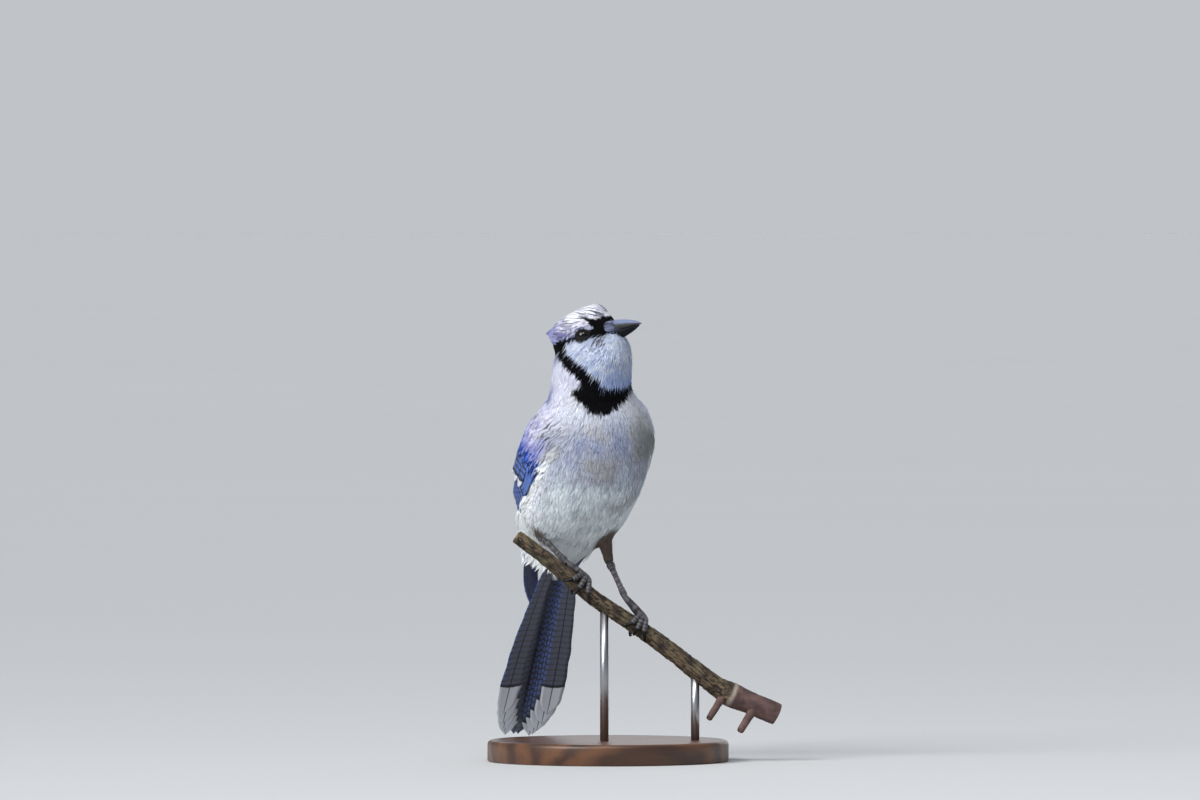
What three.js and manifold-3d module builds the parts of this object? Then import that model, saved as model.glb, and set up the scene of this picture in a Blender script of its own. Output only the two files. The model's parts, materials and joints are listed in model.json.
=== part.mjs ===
// A blue jay, life size, that stands on a cut length of branch on a plain display stand.
// Millimetres, +Z up. The bird's body faces -Y, its left side is +X, and its head is turned to its left.
// The origin is the centre of the stand's underside.
import * as THREE from "three";
import { mergeGeometries, mergeVertices } from "three/addons/utils/BufferGeometryUtils.js";
import Module from "manifold-3d";

const wasm = await Module();
wasm.setup();

const vec = (x, y, z) => new THREE.Vector3(x, y, z);
const radians = THREE.MathUtils.degToRad;

// Driving dimensions. Places are given from a point at the height of the perch under the bird's neck.
const GAP = 0.35; // left between two pieces that touch
const VANE = 0.55; // thickness of a feather
const LAYER = 0.88; // from one feather to the next that lies over it
const PERCH_LEVEL = 80; // height of that point above the floor
const BASE = { x: 14, y: 8, radius: 68, height: 12, round: 2.5 };
const ROD_RADIUS = 2.4;
const HEAD = { at: vec(-3, 3, 156.4), turn: 38, lift: 18 };
const BILL = { base: 13, tip: 37.8, wide: 4.9, upper: 6.9, lower: 4.7, shorter: 1.6 };
const EYE = { x: 10.7, y: -5.9, z: 1.5, radius: 4.4 };
const TAIL = { at: vec(0, 43, 36), fall: 57, length: 122, width: 14 };
const TARSUS = { radius: 1.7, heel: 2.4 };
const TOE_RADIUS = 1.55;
const NECK_CUT = 11; // from the head's middle down to the cut below it
const BREAST_CUT = 0.645; // share of the trunk's line at the cut below the neck
const RUMP_CUT = 0.095; // share of the trunk's line at the cut above the tail

// Random draws that are the same at every run.
let seed = 20;
function draw(low, high) {
  seed = (seed * 1664525 + 1013904223) % 4294967296;
  return low + (seed / 4294967296) * (high - low);
}

// A closed geometry as a solid with its faces pointing out.
function solid(geometry) {
  for (const name of ["normal", "uv"]) geometry.deleteAttribute(name);
  const merged = mergeVertices(geometry, 1e-4);
  const points = merged.getAttribute("position").array;
  const faces = new Uint32Array(merged.index.array);
  const corner = (i) => vec(...points.subarray(3 * faces[i], 3 * faces[i] + 3));
  let volume = 0;
  for (let i = 0; i < faces.length; i += 3) volume += corner(i).cross(corner(i + 1)).dot(corner(i + 2));
  if (volume < 0) faces.reverse();
  return new wasm.Manifold(new wasm.Mesh({ numProp: 3, vertProperties: points, triVerts: faces }));
}

const join = (pieces) => wasm.Manifold.union(pieces);
const ball = (place, radius) => solid(new THREE.SphereGeometry(radius, 14, 8).translate(...place));
const largest = (whole) => whole.decompose().sort((a, b) => b.volume() - a.volume())[0];

// A round body along a line. Each station has a place, half its width along side, and its reach to the
// front and back.
function tube(stations) {
  const through = (values) => new THREE.CatmullRomCurve3(values, false, "catmullrom", 0.5);
  const line = new THREE.CatmullRomCurve3(stations.map((s) => s.at));
  const squares = through(stations.map((s) => vec(s.wide ** 2, s.front ** 2, s.back ** 2)));
  const sides = through(stations.map((s) => s.side));
  function point(t, angle, grow = 0) {
    const along = line.getTangent(t);
    const side = sides.getPoint(t).projectOnPlane(along).normalize();
    const front = side.clone().cross(along);
    const reach = squares.getPoint(t).toArray();
    const [wide, ahead, behind] = reach.map((square) => Math.sqrt(Math.max(square, 0)) + grow);
    const deep = Math.sin(angle) > 0 ? ahead : behind;
    return line.getPoint(t)
      .addScaledVector(side, wide * Math.cos(angle))
      .addScaledVector(front, deep * Math.sin(angle));
  }
  // The body as a solid, grown by a margin, with rows set closer towards its two ends.
  function body(rows, around, grow = 0) {
    const geometry = new THREE.SphereGeometry(1, around, rows);
    const place = geometry.getAttribute("position");
    for (let i = 0; i < place.count; i++) {
      const row = Math.floor(i / (around + 1));
      const t = (1 - Math.cos((Math.PI * row) / rows)) / 2;
      const end = row === 0 || row === rows;
      const spot = end
        ? line.getPoint(t).addScaledVector(line.getTangent(t), t > 0.5 ? grow : -grow)
        : point(t, (2 * Math.PI * (i % (around + 1))) / around, grow);
      place.setXYZ(i, ...spot);
    }
    return solid(geometry);
  }
  return { line, point, body };
}

// One feather as a thin sheet. place(q, x, h) gives a point from the share of its length, the distance across
// and the height. Its two faces share their border and are split into the same triangles.
const BLADE = [[0, 0.45], [0.3, 0.92], [0.65, 1], [0.9, 0.78], [1, 0.3]];
const SHORT_BLADE = [[0, 0.6], [0.35, 0.95], [0.75, 1], [1, 0.42]];
const EDGE = 0.5; // width of the bevel at a feather's edge
function feather(place, half, shape = BLADE, thick = VANE) {
  const faces = [1, -1].map((face) => {
    const sheet = new THREE.PlaneGeometry(1, 1, 3, shape.length - 1);
    const spot = sheet.getAttribute("position");
    for (let i = 0; i < spot.count; i++) {
      const [row, column] = [Math.floor(i / 4), i % 4];
      const [q, share] = shape[row];
      const outer = column === 0 || column === 3;
      const border = outer || row === 0 || row === shape.length - 1;
      const reach = half * share - (outer ? 0 : EDGE);
      spot.setXYZ(i, ...place(q, column < 2 ? -reach : reach, border ? 0 : (face * thick) / 2));
    }
    if (face < 0) sheet.index.array.reverse();
    return sheet;
  });
  return solid(mergeGeometries(faces));
}

// The trunk, from the tail's root to inside the head.
const SIDE = vec(1, 0, 0);
const turned = (degrees) => vec(Math.cos(radians(degrees)), Math.sin(radians(degrees)), 0);
const trunk = tube([
  { at: vec(0, 52, 22), wide: 0, front: 0, back: 0, side: SIDE },
  { at: vec(0, 46, 32), wide: 11, front: 9, back: 8, side: SIDE },
  { at: vec(0, 38, 44), wide: 19, front: 17, back: 13, side: SIDE },
  { at: vec(0.5, 28.5, 58), wide: 31, front: 25, back: 18, side: SIDE },
  { at: vec(1, 18.5, 73), wide: 34, front: 30.5, back: 21.5, side: SIDE },
  { at: vec(2, 9.5, 88), wide: 35.5, front: 33, back: 23, side: SIDE },
  { at: vec(2, 3.5, 102), wide: 34.9, front: 31.5, back: 23, side: SIDE },
  { at: vec(0.7, 0.5, 115), wide: 31.8, front: 27, back: 22.5, side: SIDE },
  { at: vec(-0.8, -1, 128), wide: 24.8, front: 21.8, back: 23, side: turned(6) },
  { at: vec(-0.5, -1, 138), wide: 23.4, front: 22.8, back: 22.6, side: turned(18) },
  { at: vec(-0.2, -0.5, 147), wide: 21.3, front: 24, back: 21.8, side: turned(32) },
  { at: vec(-0.5, -0.5, 154), wide: 16.4, front: 22.6, back: 18.4, side: turned(HEAD.turn) },
  { at: vec(-2, 1, 160), wide: 9, front: 11, back: 11, side: turned(HEAD.turn) },
  { at: vec(-3, 3, 164), wide: 0, front: 0, back: 0, side: turned(HEAD.turn) },
]);

// The head's own frame: it faces -Y with +Z up, and is then lifted and turned.
const headPlace = new THREE.Matrix4()
  .makeTranslation(HEAD.at)
  .multiply(new THREE.Matrix4().makeRotationZ(radians(HEAD.turn)))
  .multiply(new THREE.Matrix4().makeRotationX(-radians(HEAD.lift)));
const onHead = (x, y, z) => vec(x, y, z).applyMatrix4(headPlace);
const headAlong = (x, y, z) => vec(x, y, z).transformDirection(headPlace);
const headStation = (y, z, wide, top, bottom) => ({
  at: onHead(0, y, z), wide, front: bottom, back: top, side: headAlong(1, 0, 0),
});
const skull = tube([
  headStation(17.6, 1, 0, 0, 0),
  headStation(14, 1, 9.5, 12, 11),
  headStation(7, 0.5, 14.2, 15.9, 14),
  headStation(0, 0.4, 15.2, 17.1, 15.4),
  headStation(-6, 0.8, 13.3, 17.2, 14.8),
  headStation(-12, 1.5, 10.9, 16.4, 12),
  headStation(-17, 2.3, 7.8, 13.4, 8.8),
  headStation(-20.2, 4.2, 4.9, 8.8, 5.4),
  headStation(-22.6, 5, 0, 0, 0),
]);

const HALVES = [["left", 1], ["right", -1]];
const meshes = new THREE.Group();
meshes.position.set(-BASE.x, -BASE.y, PERCH_LEVEL);
function show(name, whole, colour, roughness, metalness = 0) {
  const made = largest(whole.simplify(0.012)).getMesh();
  const geometry = new THREE.BufferGeometry()
    .setAttribute("position", new THREE.BufferAttribute(made.vertProperties, 3))
    .setIndex(new THREE.BufferAttribute(made.triVerts, 1));
  geometry.computeVertexNormals();
  const finish = new THREE.MeshStandardMaterial({ color: colour, roughness, metalness });
  const mesh = new THREE.Mesh(geometry, finish);
  mesh.name = name;
  meshes.add(mesh);
}

// The bill's two halves, each a straight-edged horn that arches away from the line of the mouth.
function mandible(top, bottom, shorter, grow) {
  const base = BILL.base - grow;
  const share = [0, 0.25, 0.5, 0.75, 0.92, 1];
  const arch = [0.9, 1, 0.88, 0.6, 0.3, 0];
  const end = BILL.tip - shorter;
  return tube([
    { at: onHead(0, -base, -0.6), wide: 0, front: 0, back: 0, side: headAlong(1, 0, 0) },
    ...share.map((q, i) => ({
      at: onHead(0, -(base + 0.4 + q * (end - base)), -0.6 - 0.8 * q),
      wide: BILL.wide * (1 - 0.86 * q ** 1.25) * (arch[i] ? 1 : 0),
      front: bottom * arch[i],
      back: top * arch[i],
      side: headAlong(1, 0, 0),
    })),
  ]).body(12, 12, grow);
}
const mouthLine = headAlong(0, -0.03, 1);
const mouthOffset = onHead(0, -BILL.base, -0.6).dot(mouthLine);
const billUpper = mandible(BILL.upper, 1, 0, 0).trimByPlane(mouthLine.toArray(), mouthOffset + GAP / 2);
const mouthBelow = mouthLine.clone().negate().toArray();
const billLower = mandible(1, BILL.lower, BILL.shorter, 0).trimByPlane(mouthBelow, -mouthOffset + GAP / 2);
const nostrils = HALVES.map(([, sign]) => ball(onHead(sign * 4.3, -19.5, 2.6), 0.9));
const billRoom = mandible(BILL.upper, BILL.lower, 0, 0.6);
show("bill_upper", billUpper.subtract(join(nostrils)), 0x4a4f5c, 0.35);
show("bill_lower", billLower, 0x2c2e36, 0.35);

// The eyes, and the ring of lid round each.
const eyePlace = (sign) => onHead(sign * EYE.x, EYE.y, EYE.z);
for (const [half, sign] of HALVES) show("eye_" + half, ball(eyePlace(sign), EYE.radius), 0x140c0a, 0.05);
function lid(sign) {
  const out = headAlong(sign, -0.36, 0.02);
  const ring = new THREE.TorusGeometry(3.95, 0.75, 5, 12);
  const pose = new THREE.Matrix4().makeRotationFromQuaternion(
    new THREE.Quaternion().setFromUnitVectors(vec(0, 0, 1), out),
  );
  return solid(ring.applyMatrix4(pose).translate(...eyePlace(sign).addScaledVector(out, 2.2)));
}

// The crest: rows of narrow feathers that lie back over the crown, the last ones past the nape.
function plume(root, tip, bulge, half, normal) {
  const middle = root.clone().lerp(tip, 0.5).addScaledVector(normal, bulge);
  const curve = new THREE.QuadraticBezierCurve3(root, middle, tip);
  const across = tip.clone().sub(root).cross(normal).normalize();
  const place = (q, x, h) => curve.getPoint(q)
    .addScaledVector(across, x)
    .addScaledVector(normal, h - 0.06 * Math.abs(x));
  return feather(place, half, SHORT_BLADE);
}
const CREST_ROWS = [
  { y: -8, z: 17.2, length: 14, rise: 0.4, count: 3, spread: 4.2 },
  { y: -1, z: 17.2, length: 15, rise: -2.4, count: 4, spread: 4.4 },
  { y: 6.5, z: 15.9, length: 15, rise: -4.8, count: 5, spread: 4.6 },
];
function crest() {
  const plumes = [];
  for (const [level, row] of CREST_ROWS.entries()) {
    for (let i = 0; i < row.count; i++) {
      const x = (i - (row.count - 1) / 2) * row.spread;
      const drop = (x * x) / 26;
      const long = row.length * draw(0.92, 1.06) - Math.abs(x) * 0.25;
      const root = onHead(x, row.y, row.z - drop - 1.2);
      const tip = onHead(x * 0.66, row.y + long, row.z - drop * 0.8 + row.rise + 0.25 * level);
      plumes.push(plume(root, tip, 2.4, 2.5, headAlong(x * 0.05, 0.1, 1)));
    }
  }
  return plumes;
}

// The stiff tufts that lie forward over the nostrils.
function nostrilTuft(sign, x, z, long) {
  const root = onHead(sign * x, -BILL.base + 1.5, z);
  const tip = onHead(sign * (x - 1.2), -BILL.base - long, z - 1.6);
  return plume(root, tip, 0.8, 1.9, headAlong(sign * 0.8, -0.2, 0.6));
}
const TUFTS = [[3.2, 9.4, 10.6], [5.6, 5.2, 9.8]];

// The whole body before it is parted.
const wholeBody = join([trunk.body(22, 32), skull.body(13, 22)]);
const headUp = headAlong(0, 0, 1);
const neckOffset = onHead(0, 0, -NECK_CUT).dot(headUp);
const breastAlong = trunk.line.getTangent(BREAST_CUT);
const breastOffset = trunk.line.getPoint(BREAST_CUT).dot(breastAlong);
const rumpAlong = trunk.line.getTangent(RUMP_CUT);
const rumpOffset = trunk.line.getPoint(RUMP_CUT).dot(rumpAlong);
const above = (whole, along, offset) => whole.trimByPlane(along.toArray(), offset + GAP / 2);
const under = (whole, along, offset) => above(whole, along.clone().negate(), -offset);

const WHITE_DOWN = 0xdfe3ec;
const BREAST_GREY = 0xc3c4cc;
const CREST_BLUE = 0x8d95c8;
const sockets = HALVES.map(([, sign]) => ball(eyePlace(sign), EYE.radius + GAP));
const tufts = HALVES.flatMap(([, sign]) => TUFTS.map((t) => nostrilTuft(sign, ...t)));
const dressedHead = join([
  above(wholeBody, headUp, neckOffset), ...HALVES.map(([, sign]) => lid(sign)), ...crest(), ...tufts,
]);
show("head", dressedHead.subtract(join([billRoom, ...sockets])), CREST_BLUE, 0.8);
const neck = above(under(wholeBody, headUp, neckOffset), breastAlong, breastOffset);
show("neck", neck, WHITE_DOWN, 0.9);

// The legs. Each has a heel joint behind and a foot joint above the branch.
const LEGS = [
  {
    half: "left", knee: vec(7.5, 9, 66), heel: vec(20, 20, 32), foot: vec(17.5, -7.5, 13),
    perch: 0.4436, thigh: 6,
  },
  {
    half: "right", knee: vec(-13, 10, 66), heel: vec(-20, 27, 48), foot: vec(-14.5, 1.5, 32.5),
    perch: 0.2644, thigh: 5,
  },
];
const limb = (places, radii, side = SIDE) => tube(
  places.map((at, i) => ({ at, wide: radii[i], front: radii[i], back: radii[i], side })),
);
const lerp = (a, b, q) => a.clone().lerp(b, q);
const between = (a, b, shares) => shares.map((q) => lerp(a, b, q));
const THIGH_SHARES = [-0.05, 0, 0.45, 0.8, 0.96, 1];
const SHANK_SHARES = [0.04, 0.09, 0.25, 0.7, 0.92, 1];
const thighs = LEGS.map((leg) => limb(
  between(leg.knee, leg.heel, THIGH_SHARES), [0, leg.thigh * 1.25, leg.thigh, 3.6, 2.6, 0],
));
const shanks = LEGS.map((leg) => limb(
  between(leg.heel, leg.foot, SHANK_SHARES),
  [0, TARSUS.heel, TARSUS.radius, TARSUS.radius * 0.95, TARSUS.radius * 1.15, 0],
));

// The branch, from its thin end past the right foot to a little beyond the knot at its thick end.
const TOWARDS_VIEW = vec(0, -1, 0);
const branchStation = (x, y, z, radius) => ({
  at: vec(x, y, z), wide: radius, front: radius, back: radius, side: TOWARDS_VIEW,
});
const branch = tube([
  branchStation(-42.4, 8.3, 47.5, 0),
  branchStation(-42, 8.2, 47.2, 3.7),
  branchStation(-30, 5, 38, 4),
  branchStation(-16, 1.2, 26.4, 4.3),
  branchStation(0, -3.1, 12.6, 4.4),
  branchStation(13, -6.6, 3.6, 4.5),
  branchStation(26, -10.1, -5.2, 4.7),
  branchStation(40, -14, -15.6, 4.9),
  branchStation(54, -17.8, -26.8, 5.2),
  branchStation(68, -21.5, -37.8, 5.7),
  branchStation(76, -23.8, -42.5, 7),
  branchStation(85, -26.2, -46.5, 6.3),
  branchStation(101, -30.5, -53.6, 6.1),
  branchStation(101.4, -30.6, -53.8, 0),
]);
const twig = (from, to, radius) => limb(
  between(from, to, [-0.02, 0, 0.5, 1, 1.01]), [0, radius * 1.3, radius, radius * 0.85, 0], TOWARDS_VIEW,
);
const TWIGS = [
  twig(vec(73, -22, -41), vec(58, -33, -55), 2.1),
  twig(vec(90, -27, -48), vec(75, -38, -62), 2.3),
];
const BARK = 0x4c3a31;
show("perch_branch", largest(join([branch.body(24, 11), ...TWIGS.map((t) => t.body(6, 7))])), BARK, 0.9);
const perchRoom = branch.body(24, 11, GAP);

// A foot: three toes over the front of the branch and one behind, each a line from the foot joint that
// ends in a claw.
const TOES = [
  { angles: [128, 172, 205, 228, 250, 268], slide: 0.004 },
  { angles: [72, 30, -2, -24, -46, -66], slide: -0.02 },
  { angles: [74, 28, -12, -34, -58, -80], slide: 0.006 },
  { angles: [76, 34, -4, -26, -48, -68], slide: 0.03 },
];
const TOE_LIFT = [0.5, 0.5, 0.5, 0.5, 0.7, 1]; // clear of the bark
const TOE_RADII = [1.05, 1, 0.9, 0.68, 0.5, 0].map((share) => share * TOE_RADIUS);
const CLAW_ROOT = 0.6; // share of the toe's line where the claw starts
function toeShape(leg, toe) {
  const spots = toe.angles.map((angle, i) => branch.point(
    leg.perch + (toe.slide * (i + 1)) / 4, radians(angle), TOE_RADII[i] + TOE_LIFT[i],
  ));
  return limb([lerp(leg.foot, spots[0], -0.15), leg.foot, ...spots], [0, 1.1 * TOE_RADIUS, ...TOE_RADII]);
}
const thighRoom = thighs.map((thigh) => thigh.body(9, 10, GAP));
const LEG_GREY = 0x2b2b30;
const CLAW_BLACK = 0x101012;
for (const [i, leg] of LEGS.entries()) {
  const ankle = shanks[i].line.getTangent(0.84);
  const ankleOffset = shanks[i].line.getPoint(0.84).dot(ankle);
  const shank = shanks[i].body(10, 9);
  const toes = TOES.map((toe) => toeShape(leg, toe));
  const cuts = toes.map((toe) => toe.line.getTangent(CLAW_ROOT));
  const offsets = toes.map((toe, k) => toe.line.getPoint(CLAW_ROOT).dot(cuts[k]));
  const grown = (grow) => toes.map((toe) => toe.body(12, 6, grow));
  const whole = grown(0);
  const padded = whole.map((toe, k) => under(toe, cuts[k], offsets[k]));
  const foot = join([...padded, above(shank, ankle, ankleOffset)]);
  show("foot_" + leg.half, foot.subtract(perchRoom), LEG_GREY, 0.6);
  whole.forEach((toe, k) => {
    show(`claw_${leg.half}_${k + 1}`, above(toe, cuts[k], offsets[k]), CLAW_BLACK, 0.35);
  });
  const room = join([thighRoom[i], ...grown(GAP)]);
  show("tarsus_" + leg.half, under(shank, ankle, ankleOffset).subtract(room), LEG_GREY, 0.6);
}

// The wings. A wing's sheet is measured in millimetres along its length from the wrist, across it towards
// the back, and out from its underside. It lies on the trunk's side and leaves it for the top of the tail.
const WING_LINE = [ // share of the trunk's line, degrees round it, and how far out
  [0.54, -17, -3.4], [0.48, -23, -2], [0.42, -29, -1], [0.35, -36, -0.4], [0.29, -41, 0.2], [0.23, -46, 0.8],
];
const WING_END = [
  { at: vec(13, 53.5, 39), out: vec(0.62, 0.66, 0.42) },
  { at: vec(6, 68, 11.5), out: vec(0.22, 0.83, 0.52) },
];
const WING_ROUND = 31;
function wingSheet(sign) {
  const places = WING_LINE.map(([t, angle, grow]) => [t, radians(sign > 0 ? angle : 180 - angle), grow]);
  const spots = places.map(([t, angle, grow]) => trunk.point(t, angle, grow));
  const outs = places.map(([t, angle]) => trunk.point(t, angle, 1).sub(trunk.point(t, angle)));
  for (const end of WING_END) {
    spots.push(end.at.clone().setX(sign * end.at.x));
    outs.push(end.out.clone().setX(sign * end.out.x));
  }
  const line = new THREE.CatmullRomCurve3(spots);
  const facing = new THREE.CatmullRomCurve3(outs, false, "catmullrom", 0.5);
  const long = line.getLength();
  return (s, x, h) => {
    const u = THREE.MathUtils.clamp(s / long, 0, 1);
    const along = line.getTangentAt(u);
    const out = facing.getPoint(line.getUtoTmapping(u, 0)).projectOnPlane(along).normalize();
    const back = out.clone().cross(along).multiplyScalar(sign);
    const turn = x / WING_ROUND;
    return line.getPointAt(u).addScaledVector(along, s - u * long)
      .addScaledVector(out, (WING_ROUND + h) * Math.cos(turn) - WING_ROUND)
      .addScaledVector(back, (WING_ROUND + h) * Math.sin(turn));
  };
}

// Tiers of the folded wing. Each feather has its root, its tip, half its width and its height at the root
// and tip. slope leans each one so that its edge lies over the next.
function tier(count, make) {
  return Array.from({ length: count }, (_, i) => make(i, i / Math.max(count - 1, 1)));
}
const WING_TIERS = [
  ...tier(5, (i, q) => ({ // primaries, from the outermost
    root: [16 + 3 * q, -8.5 + 4 * q], tip: [[105, 121, 131, 125, 114][i], -5.5 + 2.4 * i], half: 4.9,
    low: 0.5 + 0.5 * i, high: 0.5 + 0.5 * i, slope: 0.16, shape: BLADE,
  })),
  ...tier(5, (i, q) => ({ // secondaries and tertials, from the outermost
    root: [24 + 6 * q, -5 + 15 * q], tip: [[98, 94, 87, 78, 67][i], -0.5 + 3.4 * i], half: 5.4,
    low: 3.4 + 0.15 * i, high: 3.4 + 0.15 * i, slope: 0.2, shape: BLADE,
  })),
  ...tier(2, (i) => ({ // primary coverts
    root: [12, -9 + 3.4 * i], tip: [47 + 3 * i, -9 + 3.4 * i], half: 3.2,
    low: 3 + 0.3 * i, high: 3.6 + 0.3 * i, slope: 0.2, shape: SHORT_BLADE,
  })),
  ...tier(5, (i, q) => ({ // greater coverts
    root: [22 + 2 * q, -5 + 18 * q], tip: [53 - 4 * q, -4 + 18.5 * q], half: 4.3,
    low: 4.4, high: 5.7, slope: 0.2, shape: SHORT_BLADE,
  })),
  ...tier(4, (i, q) => ({ // median coverts
    root: [12, -5 + 17 * q], tip: [35 - 1.5 * q, -5.5 + 19 * q], half: 4.5,
    low: 4.4, high: 7, slope: 0.16, shape: SHORT_BLADE,
  })),
  ...tier(4, (i, q) => ({ // lesser coverts
    root: [1, -5 + 13 * q], tip: [20, -5.5 + 17 * q], half: 4.3,
    low: 3.4, high: 7.6, slope: 0.18, shape: SHORT_BLADE,
  })),
];
function wingFeather(sheet, { root, tip, half, low, high, slope, shape }) {
  const [long, over] = [tip[0] - root[0], tip[1] - root[1]];
  const lean = Math.atan2(over, long);
  const sway = draw(-0.3, 0.3);
  return feather((q, x, h) => sheet(
    root[0] + q * long - x * Math.sin(lean),
    root[1] + q * over + x * Math.cos(lean) + sway * q * (1 - q),
    low + (high - low) * q - slope * x + h,
  ), half, shape);
}
// The arm under the coverts, which holds every feather's root.
function arm(sheet) {
  const pad = new THREE.SphereGeometry(1, 16, 9);
  const place = pad.getAttribute("position");
  for (let i = 0; i < place.count; i++) {
    const [x, y, z] = [place.getX(i), place.getY(i), place.getZ(i)];
    place.setXYZ(i, ...sheet(17 + 26 * y, 1.5 + 14 * x, 3 + 3 * z));
  }
  return solid(pad);
}
const wings = HALVES.map(([half, sign]) => {
  const sheet = wingSheet(sign);
  return { half, shape: join([arm(sheet), ...WING_TIERS.map((f) => wingFeather(sheet, f))]) };
});
const legRoom = join([...thighRoom, ...shanks.map((shank) => shank.body(10, 9, GAP))]);
const torso = above(under(wholeBody, breastAlong, breastOffset), rumpAlong, rumpOffset);
show("torso", torso.subtract(legRoom), BREAST_GREY, 0.9);
const trunkRoom = trunk.body(22, 32, GAP);
for (const [i, leg] of LEGS.entries()) {
  const thigh = thighs[i].body(9, 10).subtract(shanks[i].body(10, 9, GAP));
  show("thigh_" + leg.half, thigh, BREAST_GREY, 0.9);
}

// The tail: six feathers a side fanned from one root, the middle pair on top, with coverts above and below.
const tailAlong = vec(0, Math.cos(radians(TAIL.fall)), -Math.sin(radians(TAIL.fall)));
const tailUp = vec(0, Math.sin(radians(TAIL.fall)), Math.cos(radians(TAIL.fall)));
const tailSheet = (s, x, h) => TAIL.at.clone().addScaledVector(tailAlong, s).addScaledVector(SIDE, x)
  .addScaledVector(tailUp, h - 0.0004 * s * s);
const TAIL_STEPS = [0, 0.5, 2, 5, 10, 17]; // how much shorter each pair is than the middle one
const TAIL_BLADE = [[0, 0.5], [0.25, 0.66], [0.6, 0.92], [0.88, 1], [0.97, 0.66], [1, 0.3]];
function tailFeather(sign, k) {
  const middle = k === 0;
  const long = TAIL.length - TAIL_STEPS[k] - (sign < 0 ? 0.8 : 0);
  const rootX = sign * (middle ? 1.2 : 3.8 + 0.45 * k);
  const tipX = sign * (middle ? 1.6 : 7.4 + 1.55 * (k - 1));
  const level = middle ? 2.3 + (sign < 0 ? -LAYER : 0) : 1.42 - LAYER * k;
  const slope = middle ? 0 : 0.1;
  const place = (q, x, h) => {
    const middleX = rootX + (tipX - rootX) * Math.sin((q * Math.PI) / 2);
    return tailSheet(q * long, middleX + x, level - slope * Math.abs(x + tipX) + h);
  };
  return feather(place, TAIL.width / 2, TAIL_BLADE);
}
const COVERT_ROOT = -9; // how far a covert's root lies above the tail's
function covert(side, x, long, half, level) {
  const place = (q, across, h) => {
    const rise = side * (level - 4.5 * q * q - (0.05 * across * across) / half);
    return tailSheet(COVERT_ROOT + q * (long - COVERT_ROOT), x * (0.7 + 0.5 * q) + across, rise + h);
  };
  return feather(place, half, SHORT_BLADE);
}
const tailCoverts = [
  ...[-1, 0, 1].map((n) => covert(1, 5 * n, 30 - 4 * Math.abs(n), 4.6, 8.6)),
  ...[-1, 0, 1].map((n) => covert(-1, 5.4 * n, 42 - 6 * Math.abs(n), 4.8, 11.5)),
];
const rump = under(trunk.body(22, 32), rumpAlong, rumpOffset);
const tailWhole = join([
  rump, ...HALVES.flatMap(([, sign]) => TAIL_STEPS.map((_, k) => tailFeather(sign, k))), ...tailCoverts,
]);
const tail = largest(above(tailWhole, rumpAlong.clone().negate(), -rumpOffset).subtract(legRoom));
show("tail", tail, 0x4c6fc0, 0.6);
for (const { half, shape } of wings) show("wing_" + half, shape.subtract(trunkRoom), 0x4f78d6, 0.6);

// The stand: a round wooden base and two steel rods up to the branch.
const BASE_TOP = -PERCH_LEVEL + BASE.height;
const outline = new THREE.Path();
outline.moveTo(0, 0);
outline.lineTo(BASE.radius, 0);
outline.lineTo(BASE.radius, BASE.height - BASE.round);
outline.absarc(BASE.radius - BASE.round, BASE.height - BASE.round, BASE.round, 0, Math.PI / 2, false);
outline.lineTo(0, BASE.height);
const disc = new THREE.LatheGeometry(outline.getPoints(3), 48).rotateX(Math.PI / 2);
show("stand_base", solid(disc.translate(BASE.x, BASE.y, -PERCH_LEVEL)), 0x4a2f1d, 0.5);
for (const [name, t] of [["stand_rod_middle", 0.343], ["stand_rod_end", 0.626]]) {
  const foot = branch.line.getPoint(t);
  const length = foot.z - BASE_TOP - GAP;
  const rod = new THREE.CylinderGeometry(ROD_RADIUS, ROD_RADIUS, length, 20).rotateX(Math.PI / 2);
  const whole = solid(rod.translate(foot.x, foot.y, BASE_TOP + GAP + length / 2));
  show(name, largest(whole.subtract(perchRoom)), 0x8b8b8f, 0.3, 1);
}

export default meshes;
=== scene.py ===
# The looks of a life-size blue jay on a cut length of branch, which a plain display stand holds.
# Shapes are worked out in millimetres in the bird's own frame: it faces -Y, its left side is +X, and its head
# is turned to its left. show() brings each mesh into the part's frame, in metres.
import json

import bmesh
import bpy
import numpy as np
from mathutils import Matrix, Vector, noise
from mathutils.bvhtree import BVHTree
from mathutils.kdtree import KDTree

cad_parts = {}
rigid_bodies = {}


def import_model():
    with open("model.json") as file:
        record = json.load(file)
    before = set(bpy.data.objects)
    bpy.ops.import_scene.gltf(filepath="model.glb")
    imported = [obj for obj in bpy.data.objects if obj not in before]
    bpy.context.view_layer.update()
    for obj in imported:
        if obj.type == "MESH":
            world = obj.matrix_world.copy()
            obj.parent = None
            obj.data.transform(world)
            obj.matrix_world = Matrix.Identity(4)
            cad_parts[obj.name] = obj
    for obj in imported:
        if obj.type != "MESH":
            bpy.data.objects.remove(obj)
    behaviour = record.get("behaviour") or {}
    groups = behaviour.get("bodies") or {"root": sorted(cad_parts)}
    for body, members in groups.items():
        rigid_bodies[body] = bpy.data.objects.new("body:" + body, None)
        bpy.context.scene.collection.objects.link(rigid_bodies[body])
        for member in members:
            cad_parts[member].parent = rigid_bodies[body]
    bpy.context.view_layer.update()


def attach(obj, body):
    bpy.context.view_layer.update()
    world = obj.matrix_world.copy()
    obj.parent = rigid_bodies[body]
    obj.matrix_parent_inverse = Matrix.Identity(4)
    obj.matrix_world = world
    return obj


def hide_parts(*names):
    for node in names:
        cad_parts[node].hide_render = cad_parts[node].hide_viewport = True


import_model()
rng = np.random.default_rng(11)

BASE = {"x": 14, "y": 8, "radius": 68, "height": 12}
PERCH_LEVEL = 80  # how high the bird's own frame stands over the table
ORIGIN = Vector((-BASE["x"], -BASE["y"], PERCH_LEVEL))
TO_PART = Matrix.Scale(0.001, 4) @ Matrix.Translation(ORIGIN)


# Camera and light

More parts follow.
